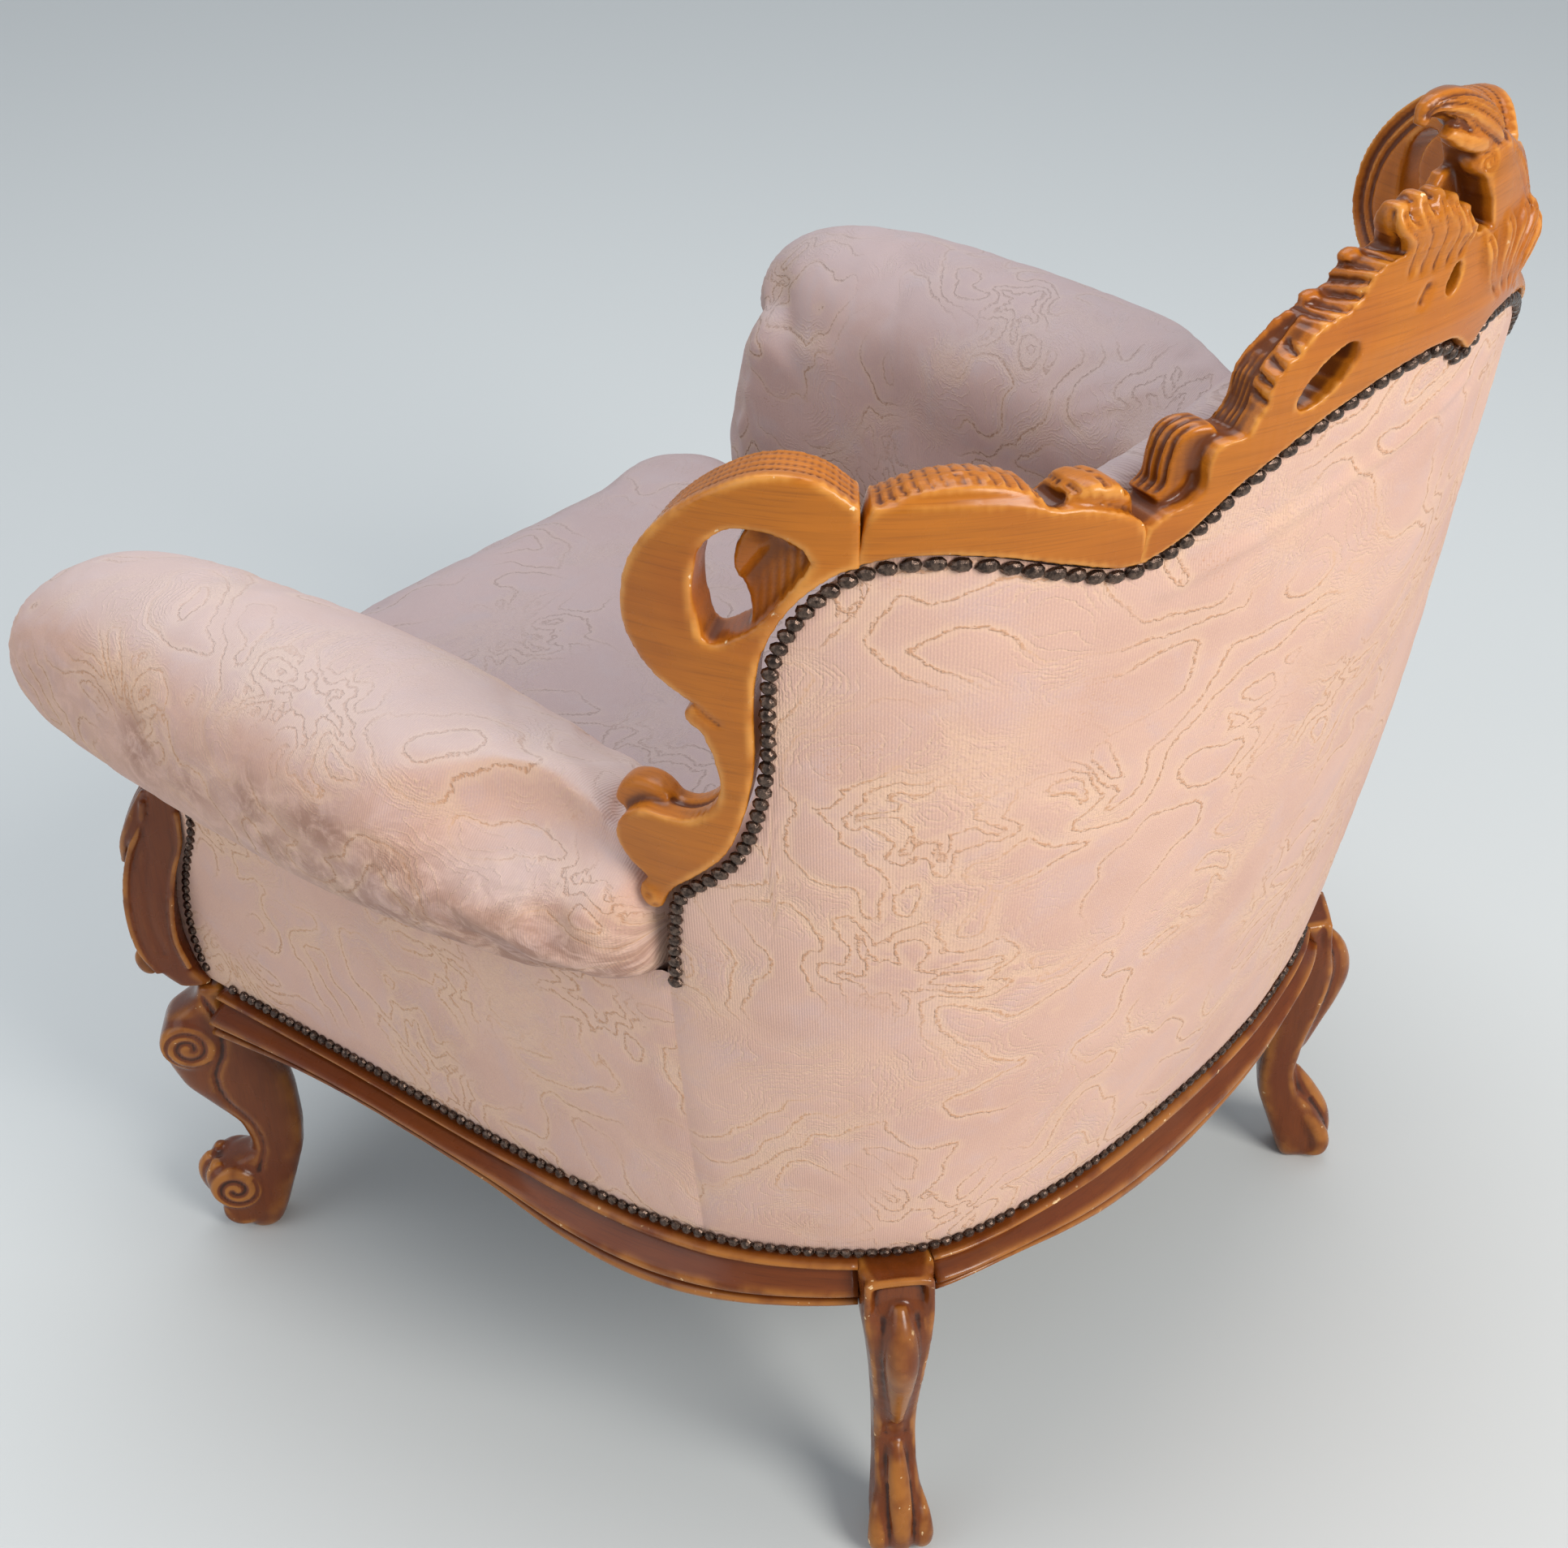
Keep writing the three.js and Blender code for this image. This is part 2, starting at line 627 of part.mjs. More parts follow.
// The arm roll: [x, y, z, radius] of its rings, from the front end to the back end.
const ROLL = [
  [419, -431, 572, 16], [417, -424, 573, 36], [413, -408, 577, 53], [407, -382, 583, 66],
  [400, -345, 588, 75], [393, -260, 590, 83], [385, -150, 590, 88], [376, -30, 589, 87],
  [367, 70, 587, 79], [360, 130, 583, 70], [354, 166, 578, 58], [352, 184, 574, 46],
];

/** Height of the underside of the arm roll over the tub point at s and out. */
function rollUnderside(s, out) {
  const at = tubPoint(Math.abs(s), 520, out);
  const next = ROLL.findIndex((row) => row[1] > at.y);
  const ahead = next < 0 ? ROLL.length - 1 : Math.max(next, 1);
  const [x0, y0, z0, r0] = ROLL[ahead - 1];
  const [x1, y1, z1, r1] = ROLL[ahead];
  const t = THREE.MathUtils.clamp((at.y - y0) / (y1 - y0), 0, 1);
  const radius = lerp(r0, r1, t);
  const aside = Math.min(Math.abs(at.x - lerp(x0, x1, t)), radius * 0.95);
  return lerp(z0, z1, t) - Math.sqrt(radius ** 2 - aside ** 2);
}

const BEHIND_ROLL_S = 393;        // the back cover runs level from here, behind the arm roll
const BEHIND_ROLL_TOP = 525;
const COVER_TUCK = 4;             // how far below the edge of the wood the back cover stops

function outsideBack() {
  return sheet({
    place: (u, v) => {
      const s = lerp(-SEAM_S, SEAM_S, u);
      const edge = nailHeight(s) + COVER_TUCK;
      const top = Math.abs(s) > BEHIND_ROLL_S ? BEHIND_ROLL_TOP : edge;
      return [s, lerp(COVER_FOOT, top, v)];
    },
    inner: -COVER_THICK,
    outer: 0,
    columns: 44,
    rows: 5,
  });
}

addPiece('outside_back', outsideBack(), 'fabric');

const ROLL_GAP = 5;               // between the underside of the roll and what carries it
const POST_EDGE_Z = [272, 290, 330, 370, 400, 430, 500];
const POST_EDGE_S = [884, 896, 904, 900, 890, 880, 876];

bothSides('side_cover', 'fabric', (side) => sheet({
  place: (u, v) => {
    const along = lerp(SEAM_S + 1, POST_EDGE_S[0], u);
    const z = lerp(COVER_FOOT, rollUnderside(along, -COVER_THICK) - ROLL_GAP, v);
    return [side * lerp(SEAM_S + 1, smoothTable(POST_EDGE_Z, POST_EDGE_S, z), u), z];
  },
  inner: -COVER_THICK,
  outer: 0,
  columns: 16,
  rows: 6,
}));

function armRoll(side) {
  const sides = 20;
  const centres = ROLL.map(([x, y, z]) => new THREE.Vector3(side * x, y, z));
  const rings = ROLL.map((row, i) => {
    const ahead = centres[Math.min(i + 1, ROLL.length - 1)];
    const behind = centres[Math.max(i - 1, 0)];
    const along = ahead.clone().sub(behind).normalize();
    const across = new THREE.Vector3().crossVectors(along, new THREE.Vector3(0, 0, 1)).normalize();
    const up = new THREE.Vector3().crossVectors(across, along);
    return Array.from({ length: sides }, (_, k) => {
      const a = (k / sides) * 2 * Math.PI;
      const p = centres[i].clone();
      p.addScaledVector(across, row[3] * Math.cos(a));
      return p.addScaledVector(up, row[3] * Math.sin(a));
    });
  });
  return loft(rings);
}

function toSolid(geometry) {
  const closed = facingOut(geometry);
  return new wasm.Manifold(new wasm.Mesh({
    numProp: 3,
    vertProperties: closed.attributes.position.array,
    triVerts: new Uint32Array(closed.index.array),
  }));
}

function fromSolid(solid) {
  const mesh = solid.getMesh();
  const geometry = new THREE.BufferGeometry();
  geometry.setAttribute('position', new THREE.BufferAttribute(mesh.vertProperties, 3));
  geometry.setIndex(new THREE.BufferAttribute(mesh.triVerts, 1));
  return geometry;
}

// The lower volute of the side scroll is let into the back end of the roll.
const VOLUTE_POCKET = [[372, 592], [444, 592], [444, 700], [372, 700]];

bothSides('arm_roll', 'fabric', (side) => {
  const pocket = bentPanel(flip(side, VOLUTE_POCKET), [], WOOD_IN - 1, WOOD_OUT + 60);
  return fromSolid(toSolid(armRoll(side)).subtract(toSolid(pocket)));
});

const ARM_BACK_S = 338;
const ARM_FOOT_S = 925;           // front end of the inside arm at its foot
const ARM_FRONT_S = 1000;         // front end of the inside arm under the roll
const ARM_LOW = 341;
const ARM_OUT = -38;              // outer face of the inside arm
const ARM_IN = -76;               // inner face of the inside arm at its edges
const ARM_SWELL = 10;             // how much further in it comes in the middle

bothSides('inside_arm', 'fabric', (side) => sheet({
  place: (u, v) => {
    const along = lerp(ARM_BACK_S, ARM_FRONT_S, u);
    const z = lerp(ARM_LOW, rollUnderside(along, ARM_OUT) - ROLL_GAP, v);
    return [side * lerp(ARM_BACK_S, lerp(ARM_FOOT_S, ARM_FRONT_S, v), u), z];
  },
  inner: (u, v) => ARM_IN - ARM_SWELL * Math.sin(Math.PI * v),
  outer: ARM_OUT,
  columns: 16,
  rows: 4,
}));

const BACK_PAD_S = 312;           // half width beside the arm rolls
const BACK_WING_S = 340;          // half width above the arm rolls
const BACK_PAD_LOW = 400;

const BACK_PAD_REST = -48;        // rear face of the back pad
const BACK_PAD_EDGE = -62;        // front face of the back pad at its edges
const BACK_PAD_SWELL = 52;        // how much further forward it comes in the middle
const BACK_PAD_TOP_S = [0, 80, 130, 180, 240, 340];
const BACK_PAD_TOP_Z = [985, 980, 945, 880, 868, 810];
const backPadTop = (s) => smoothTable(BACK_PAD_TOP_S, BACK_PAD_TOP_Z, s);

addPiece('inside_back', sheet({
  place: (u, v) => {
    const half = lerp(-1, 1, u);
    const z = lerp(BACK_PAD_LOW, backPadTop(half * BACK_WING_S), v);
    return [half * lerp(BACK_PAD_S, BACK_WING_S, THREE.MathUtils.smoothstep(z, 650, 700)), z];
  },
  inner: (u, v) => (
    BACK_PAD_EDGE - BACK_PAD_SWELL * Math.sqrt(Math.sin(Math.PI * lerp(0.06, 0.94, v)))
  ),
  outer: BACK_PAD_REST,
  columns: 20,
  rows: 6,
}), 'fabric');

// The seat: rings as [height, inset from the edge].
const SEAT_RINGS = [[341, 14], [352, 4], [400, 0], [440, 2], [462, 14], [476, 44], [484, 96]];
const SEAT_SIDE_X = 284;
const SEAT_CORNER_R = 60;
const SEAT_FRONT_Y = -428;
const SEAT_BACK_Y = 264;

/** Half plan of the seat at an inset, mirrored to a whole ring. */
function seatRing(z, inset) {
  const side = SEAT_SIDE_X - inset;
  const front = SEAT_FRONT_Y + inset;
  const back = SEAT_BACK_Y - inset;
  const corner = Math.max(SEAT_CORNER_R - inset / 2, 12);
  const half = [
    [0, front], [side * 0.5, front + 8], [side - corner, front + 22],
    [side - corner * 0.3, front + 30 + corner * 0.3], [side, front + 30 + corner],
    [side, -150], [side - 4, 0], [side - 22, 90], [side * 0.72, back - 62],
    [side * 0.4, back - 16], [0, back],
  ];
  const other = half.slice(1, -1).reverse().map(([x, y]) => [-x, y]);
  return [...half, ...other].map(([x, y]) => new THREE.Vector3(x, y, z));
}

addPiece('seat_pad', loft(SEAT_RINGS.map(([z, inset]) => seatRing(z, inset))), 'fabric');

const FRONT_COVER_TOP = 338;
const FRONT_COVER_INSET = 0.045;
addPiece('front_cover', frontBar(
  COVER_FOOT, FRONT_COVER_TOP, -COVER_THICK, 0, FRONT_COVER_INSET, 1 - FRONT_COVER_INSET, 12,
), 'fabric');

const DUST_COVER_Z = 266;
const DUST_COVER_THICK = 1.5;
const DUST_COVER_OUT = -40;       // its edge, inside the rails
const DUST_COVER_END_S = 840;
const DUST_COVER_STEP = 60;

function dustCover() {
  const edge = [];
  for (let s = -DUST_COVER_END_S; s <= DUST_COVER_END_S; s += DUST_COVER_STEP) {
    const p = tubPoint(s, PLAN_LEVEL, DUST_COVER_OUT);
    edge.push([p.x, p.y]);
  }
  for (let i = 0; i <= 8; i += 1) {
    const p = frontPoint(lerp(0.92, 0.08, i / 8), 0, DUST_COVER_OUT);
    edge.push([p.x, p.y]);
  }
  const shape = new THREE.Shape(edge.map(([x, y]) => new THREE.Vector2(x, y)));
  const geometry = new THREE.ExtrudeGeometry(shape, {
    depth: DUST_COVER_THICK,
    steps: 1,
    bevelEnabled: false,
  });
  return geometry.translate(0, 0, DUST_COVER_Z);
}

addPiece('dust_cover', dustCover(), 'lining');

// ---------------------------------------------------------------- nails

/** A strip of nail heads, joined, along [s, z] points on the cover. */
function nailStrip(points, wide = NAIL_WIDTH) {
  const rings = points.map(([s, z], i) => {
    const ahead = points[Math.min(i + 1, points.length - 1)];
    const behind = points[Math.max(i - 1, 0)];
    const ds = ahead[0] - behind[0];
    const dz = ahead[1] - behind[1];
    const size = Math.hypot(ds, dz);
    const side = [(-dz / size) * (wide / 2), (ds / size) * (wide / 2)];
    return [
      tubPoint(s - side[0], z - side[1], NAIL_LIFT),
      tubPoint(s - side[0], z - side[1], NAIL_HIGH - 1),
      tubPoint(s, z, NAIL_HIGH),
      tubPoint(s + side[0], z + side[1], NAIL_HIGH - 1),
      tubPoint(s + side[0], z + side[1], NAIL_LIFT),
    ];
  });
  return loft(rings);
}

const BASE_NAIL_Z = 276.5;
const BASE_NAIL_END_S = 878;
const POST_NAIL_LOW = 286;
const POST_NAIL_TOP = 488;
const POST_NAIL_STEP = 16;
const POST_NAIL_WIDTH = 7;
const POST_NAIL_INSET = 6;        // from the edge of the side cover

addPiece('nail_row_top', nailStrip(besideNails(0.001, 0.999, 110, 0)), 'nail');
addPiece('nail_row_base', nailStrip(Array.from({ length: 81 }, (_, i) => (
  [lerp(-BASE_NAIL_END_S, BASE_NAIL_END_S, i / 80), BASE_NAIL_Z]
))), 'nail');
bothSides('nail_row_post', 'nail', (side) => {
  const points = [];
  for (let z = POST_NAIL_LOW; z <= POST_NAIL_TOP; z += POST_NAIL_STEP) {
    points.push([side * (smoothTable(POST_EDGE_Z, POST_EDGE_S, z) - POST_NAIL_INSET), z]);
  }
  return nailStrip(points, POST_NAIL_WIDTH);
});

// ---------------------------------------------------------------- arm rosettes

const ROSETTE = [[0, 0], [15, 0], [16, 4], [12, 8], [11, 12], [7, 16], [0, 17]];
const ROSETTE_STAND_OFF = 1.2;

bothSides('arm_rosette', 'wood', (side) => {
  const turned = new THREE.LatheGeometry(ROSETTE.map(([r, h]) => new THREE.Vector2(r, h)), 18);
  const facing = new THREE.Vector3(side * 0.28, -1, -0.12).normalize();
  turned.applyQuaternion(
    new THREE.Quaternion().setFromUnitVectors(new THREE.Vector3(0, 1, 0), facing),
  );
  const [x, y, z] = ROLL[0];
  const foot = new THREE.Vector3(side * x, y, z).addScaledVector(facing, ROSETTE_STAND_OFF);
  return turned.translate(foot.x, foot.y, foot.z);
});

chair.position.y = FRAME_SHIFT_Y;

export default chair;
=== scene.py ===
import math

import bpy
import numpy as np
from mathutils import Matrix, Vector, geometry, kdtree


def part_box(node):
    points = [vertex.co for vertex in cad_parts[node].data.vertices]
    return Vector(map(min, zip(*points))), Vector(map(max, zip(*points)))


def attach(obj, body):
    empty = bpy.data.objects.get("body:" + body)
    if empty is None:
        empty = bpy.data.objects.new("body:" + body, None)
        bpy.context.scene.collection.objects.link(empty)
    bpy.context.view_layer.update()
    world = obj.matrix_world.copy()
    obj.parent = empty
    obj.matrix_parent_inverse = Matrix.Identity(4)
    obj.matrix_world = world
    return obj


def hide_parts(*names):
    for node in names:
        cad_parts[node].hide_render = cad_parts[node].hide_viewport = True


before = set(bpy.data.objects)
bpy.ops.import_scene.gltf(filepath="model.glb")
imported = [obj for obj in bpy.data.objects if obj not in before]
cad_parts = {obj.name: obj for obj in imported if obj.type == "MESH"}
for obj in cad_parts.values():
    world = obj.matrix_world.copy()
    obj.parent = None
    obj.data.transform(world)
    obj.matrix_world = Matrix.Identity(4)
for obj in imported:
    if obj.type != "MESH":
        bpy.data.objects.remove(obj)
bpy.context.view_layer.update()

# Shapes are worked out in millimetres, as the frame was: the chair faces -Y, s runs along the
# plan of the base rail from the middle of the back (+s on the sitter's left), z is the height,
# and out is the distance outwards from the face of the outside cover.
MM = 0.001
SHIFT_Y = -22.3
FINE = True

# ------------------------------------------------------------------ camera and light

CAMERA_AT = (1.197, 1.0367, 1.521)
CAMERA_AZIMUTH = 131.47
CAMERA_ELEVATION = 35.3
CAMERA_ROLL = -0.59
CAMERA_LENS = 56.18
CAMERA_SHIFT = (-0.0269, 0.0130)


def make_camera():
    a, e, r = (math.radians(v) for v in (CAMERA_AZIMUTH, CAMERA_ELEVATION, CAMERA_ROLL))
    back = Vector((math.sin(a) * math.cos(e), -math.cos(a) * math.cos(e), math.sin(e)))
    right = (-back).cross(Vector((0, 0, 1))).normalized()
    up = right.cross(-back)
    x = right * math.cos(r) + up * math.sin(r)
    y = up * math.cos(r) - right * math.sin(r)
    data = bpy.data.cameras.new("camera")
    data.sensor_width = 36.0
    data.lens = CAMERA_LENS
    data.shift_x, data.shift_y = CAMERA_SHIFT
    cam = bpy.data.objects.new("camera", data)
    bpy.context.scene.collection.objects.link(cam)
    cam.matrix_world = Matrix.Translation(CAMERA_AT) @ Matrix((x, y, back)).transposed().to_4x4()
    bpy.context.scene.camera = cam
    bpy.context.scene.view_settings.view_transform = "Standard"


def add_light(name, at, aim, size, power, tint):
    data = bpy.data.lights.new(name, "AREA")
    data.shape = "DISK"
    data.size = size
    data.energy = power
    data.color = tint
    lamp = bpy.data.objects.new(name, data)
    bpy.context.scene.collection.objects.link(lamp)
    lamp.location = at
    lamp.rotation_euler = (Vector(at) - Vector(aim)).to_track_quat("Z", "Y").to_euler()


def make_light():
    world = bpy.data.worlds.new("studio")
    bpy.context.scene.world = world
    world.use_nodes = True
    sky = world.node_tree.nodes["Background"]
    sky.inputs["Color"].default_value = (0.86, 0.92, 1.0, 1)
    sky.inputs["Strength"].default_value = 0.55
    middle = (0, 0, 0.45)
    add_light("key", (0.3, 3.5, 2.7), middle, 2.0, 126, (1.0, 0.965, 0.92))
    add_light("fill", (2.9, -1.2, 2.0), middle, 3.0, 22, (0.92, 0.96, 1.0))
    add_light("top", (-0.3, -0.5, 3.6), middle, 2.6, 52, (0.93, 0.96, 1.0))


make_camera()
make_light()

# ------------------------------------------------------------------ the tub of the chair

PLAN = [
    (0, 347), (141, 337), (247, 303), (318, 220), (348, 140),
    (366, 0), (376, -150), (388, -307), (392, -365), (397, -425),
]
LEAN_S = [0, 120, 240, 330, 430, 600, 900, 1010]
LEAN_MID = [78, 68, 57, 51, 36, 22, 2, 0]
LEAN_TOP = [142, 118, 75, 66, 50, 35, 2, 0]
PLAN_Z, MID_Z, TOP_Z = 270, 600, 950
NAIL_LINE = [
    (403, 531), (400, 574), (394, 608), (376, 630), (361, 651), (349, 685), (342, 726),
    (341, 766), (337, 800), (320, 837), (297, 859), (275, 865), (250, 861), (221, 849),
    (193, 840), (167, 851), (133, 883), (91, 913), (55, 928), (22, 931), (0, 917),
]


def table(xs, ys, x):
    """Smooth values at x through the points (xs, ys), alike on both sides of x = 0."""
    xs, ys = np.asarray(xs, float), np.asarray(ys, float)
    a = np.clip(np.abs(x), xs[0], xs[-1])
    i = np.clip(np.searchsorted(xs, a, side="left") - 1, 0, len(xs) - 2)
    slope = np.empty(len(xs))
    slope[1:-1] = (ys[2:] - ys[:-2]) / (xs[2:] - xs[:-2])
    slope[0], slope[-1] = 0, (ys[-1] - ys[-2]) / (xs[-1] - xs[-2])
    span = xs[i + 1] - xs[i]
    t = (a - xs[i]) / span
    return ((2 * t**3 - 3 * t**2 + 1) * ys[i] + (t**3 - 2 * t**2 + t) * span * slope[i]
            + (3 * t**2 - 2 * t**3) * ys[i + 1] + (t**3 - t**2) * span * slope[i + 1])


def spline(points, count, closed=False):
    """count points, evenly spaced, on a centripetal curve through the given ones."""
    p = np.asarray(points, float)
    n = len(p)
    if closed:
        ext = np.vstack([p[-1], p, p[0], p[1]])
        segments = n
    else:
        ext = np.vstack([2 * p[0] - p[1], p, 2 * p[-1] - p[-2]])
        segments = n - 1
    t = np.linspace(0, 1, 24, endpoint=False)[:, None]
    out = []
    for i in range(segments):
        a, b, c, d = ext[i:i + 4]
        da, db, dc = (max(np.linalg.norm(v - u), 1e-6)**0.5 for u, v in ((a, b), (b, c), (c, d)))
        m1 = ((b - a) / da - (c - a) / (da + db) + (c - b) / db) * db
        m2 = ((c - b) / db - (d - b) / (db + dc) + (d - c) / dc) * db
        out.append(b + m1 * t + (3 * c - 3 * b - 2 * m1 - m2) * t**2 + (2 * b - 2 * c + m1 + m2) * t**3)
    dense = np.vstack(out + [p[:1] if closed else p[-1:]])
    run = np.concatenate([[0], np.cumsum(np.linalg.norm(np.diff(dense, axis=0), axis=1))])
    at = np.linspace(0, run[-1], count + 1)[:-1] if closed else np.linspace(0, run[-1], count)
    return np.stack([np.interp(at, run, dense[:, k]) for k in range(dense.shape[1])], 1)


def both_halves(points):
    return [(-a, b) for a, b in reversed(points[1:])] + list(points)


def directions(points):
    """The unit direction of a curve at each of its points."""
    t = np.gradient(points, axis=0)
    return t / np.linalg.norm(t, axis=1)[:, None]


def curve_at(at, places, points, ways):
    """x and y of a curve, and of its direction, at the places asked for."""
    return (np.interp(at, places, values[:, k]) for values in (points, ways) for k in (0, 1))


PLAN_XY = spline(both_halves(PLAN), 4001)
PLAN_RUN = np.concatenate([[0], np.cumsum(np.linalg.norm(np.diff(PLAN_XY, axis=0), axis=1))])
PLAN_S = PLAN_RUN - PLAN_RUN[-1] / 2
PLAN_T = directions(PLAN_XY)
SPRUNG = (-14, 18, 16)             # how far the far end of the top frame has sprung, in x, y and z


def smooth_step(x, low, high):
    """0 below low, 1 above high, and smooth between them."""
    t = np.clip((np.asarray(x, float) - low) / (high - low), 0, 1)
    return t * t * (3 - 2 * t)


def lean(s, z):
    """How far the cover stands out from the plan of the rail: the back leans, the sides hardly."""
    mid, top = table(LEAN_S, LEAN_MID, s), table(LEAN_S, LEAN_TOP, s)
    t = (np.minimum(z, TOP_Z) - PLAN_Z) / (MID_Z - PLAN_Z)
    k = (TOP_Z - PLAN_Z) / (MID_Z - PLAN_Z)
    bend = (top - mid * k) / (k * k - k)
    return (mid - bend) * t + bend * t * t


def tub(s, z, out):
    """Points at s, z, out, in metres in the row frame."""
    s, z, out = np.broadcast_arrays(*(np.asarray(v, float) for v in (s, z, out)))
    x, y, tx, ty = curve_at(s, PLAN_S, PLAN_XY, PLAN_T)
    reach = lean(s, z) + out
    share = smooth_step(-s, 200, 330) * smooth_step(z, 600, 830)
    return np.stack([x - ty * reach + SPRUNG[0] * share, y + tx * reach + SHIFT_Y + SPRUNG[1] * share,
                     z + SPRUNG[2] * share], -1) * MM


NAIL_CURVE = spline(both_halves(NAIL_LINE[::-1]), 3001)
NAIL_HALF = NAIL_CURVE[1500:]


def nail_height(s):
    """Height of the nail line at s, where it still rises in one piece, up to |s| = 390."""
    rise = NAIL_HALF[NAIL_HALF[:, 0] < 341]
    a = np.abs(np.asarray(s, float))
    order = np.argsort(rise[:, 0])
    near = np.interp(a, rise[order, 0], rise[order, 1])
    low = NAIL_HALF[NAIL_HALF[:, 1] < 770]
    order = np.argsort(low[:, 0])
    far = np.interp(a, low[order, 0], low[order, 1])
    return np.where(a < 340, near, far)


# ------------------------------------------------------------------ noise for shapes and weave

_rng = np.random.default_rng(785)
_PERM = np.concatenate([_rng.permutation(256)] * 2)
_ANGLE = _rng.random(256) * 2 * np.pi


def noise2(x, y, salt=0):
    """Smooth noise from about -0.7 to 0.7 over the plane."""
    xi, yi = np.floor(x).astype(int), np.floor(y).astype(int)
    xf, yf = x - xi, y - yi

    def corner(dx, dy):
        h = _PERM[_PERM[(xi + dx + 37 * salt) & 255] + ((yi + dy) & 255)]
        return np.cos(_ANGLE[h]) * (xf - dx) + np.sin(_ANGLE[h]) * (yf - dy)

    u, v = (f * f * f * (f * (f * 6 - 15) + 10) for f in (xf, yf))
    low = corner(0, 0) * (1 - u) + corner(1, 0) * u
    high = corner(0, 1) * (1 - u) + corner(1, 1) * u
    return low * (1 - v) + high * v


FLOWER_CELL = 205


def woven_field(u, v):
    """A field whose contours are the wandering lines, leaves and flowers raised in the cloth."""
    wu = u + 30 * noise2(u / 75, v / 75, 1) + 10 * noise2(u / 26, v / 26, 2)
    wv = v + 30 * noise2(u / 75, v / 75, 3) + 10 * noise2(u / 26, v / 26, 4)
    n = noise2(wu / 120, wv / 120, 5) + 0.42 * noise2(wu / 52, wv / 52, 6)
    ci, cj = np.floor(wu / FLOWER_CELL), np.floor(wv / FLOWER_CELL)
    for di in (-1, 0, 1):
        for dj in (-1, 0, 1):
            i, j = (ci + di).astype(int), (cj + dj).astype(int)
            h = _PERM[_PERM[(i + 91) & 255] + (j & 255)]
            jx, jy, spin = _PERM[h + 1] / 255, _PERM[h + 7] / 255, _ANGLE[h]
            dx = wu - (i + 0.2 + 0.6 * jx) * FLOWER_CELL
            dy = wv - (j + 0.2 + 0.6 * jy) * FLOWER_CELL
            theta = np.arctan2(dy, dx)
            size = 44 + 26 * _PERM[h + 3] / 255
            petals = 5 + _PERM[h + 5] % 3
            lobe = 1 + 0.25 * np.cos(petals * theta + spin) + 0.07 * np.cos(2 * petals * theta)
            q = np.hypot(dx, dy) / (size * lobe)
            share = np.clip(1.45 - q, 0, 1)
            share = share * share * (3 - 2 * share)
            veins = np.exp(-((q - 0.72) / 0.34)**2) * np.cos(petals * theta + spin)
            n = n * (1 - share) + (0.62 * q - 0.42 + 0.36 * veins) * share
    return n


def weave(u, v):
    """(field, its slope per mm, strength of the raised lines) of the cloth at u, v in mm."""
    n = woven_field(u, v)
    step = 0.7
    slope = np.hypot(woven_field(u + step, v) - n, woven_field(u, v + step) - n) / step
    strength = np.clip(0.62 + 1.3 * noise2(u / 88, v / 88, 8), 0, 1)
    return n, slope, strength


MOTIF_LINES = 4.2                  # raised contours for each unit of the field


def raised(u, v, high=0.7, wide=3.0):
    """Height of the quilted cloth, in mm: it is drawn down at the lines and swells between them."""
    n, slope, strength = weave(u, v)
    away = np.abs(np.sin(np.pi * MOTIF_LINES * n)) / (np.pi * MOTIF_LINES * np.maximum(slope, 0.0018))
    line = (0.6 * np.exp(-(away / wide)**2) + 0.5 * np.exp(-(away / 11)**2)) * (0.3 + 0.7 * strength)
    swell = 0.45 * noise2(u / 34, v / 34, 9)
    return swell - high * line + 0.4, np.stack([n, slope * 100, strength], -1)


# ------------------------------------------------------------------ mesh tools

def new_object(name, verts, faces, smooth=True):
    """verts in metres in the row frame."""
    mesh = bpy.data.meshes.new(name)
    verts = np.asarray(verts, float)
    if isinstance(faces, np.ndarray):
        count, size = faces.shape
        mesh.vertices.add(len(verts))
        mesh.vertices.foreach_set("co", verts.ravel())
        mesh.loops.add(count * size)
        mesh.loops.foreach_set("vertex_index", faces.ravel().astype(np.int32))
        mesh.polygons.add(count)
        mesh.polygons.foreach_set("loop_start", np.arange(0, count * size, size, dtype=np.int32))
        mesh.update(calc_edges=True)
    else:
        mesh.from_pydata(verts.tolist(), [], faces)
    mesh.validate()
    if smooth:
        mesh.polygons.foreach_set("use_smooth", np.ones(len(mesh.polygons), bool))
    obj = bpy.data.objects.new(name, mesh)
    bpy.context.scene.collection.objects.link(obj)
    return obj


def put_attribute(obj, name, values):
    """A number or a vector on every vertex, which the materials read."""
    values = np.asarray(values, np.float32)
    kind = "FLOAT" if values.ndim == 1 else "FLOAT_VECTOR"
    layer = obj.data.attributes.new(name, kind, "POINT")
    layer.data.foreach_set("value" if values.ndim == 1 else "vector", values.ravel())


def finish_piece(obj, material, slot, *nodes):
    obj.data.materials.clear()
    obj.data.materials.append(material)
    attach(obj, "root")
    if nodes:
        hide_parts(*nodes)
    return obj


def wooden_piece(name, verts, faces, quads, reach, grain, look, slot, node, stain=0.0):
    """A carved piece with what its wood reads: the hollows, darker by stain, and the grain."""
    obj = new_object(name, verts, faces)
    put_attribute(obj, "hollow", np.clip(hollows(verts, quads, reach) + stain, 0, 1))
    put_attribute(obj, "grain", grain)
    return finish_piece(obj, look, slot, node)


def grid_faces(rows, columns, closed=False):
    """Quads between rows of points; closed joins the last column to the first."""
    i, j = np.meshgrid(np.arange(rows - 1), np.arange(columns if closed else columns - 1),
                       indexing="ij")
    k = (j + 1) % columns
    return np.stack([i * columns + j, i * columns + k, (i + 1) * columns + k,
                     (i + 1) * columns + j], -1).reshape(-1, 4)


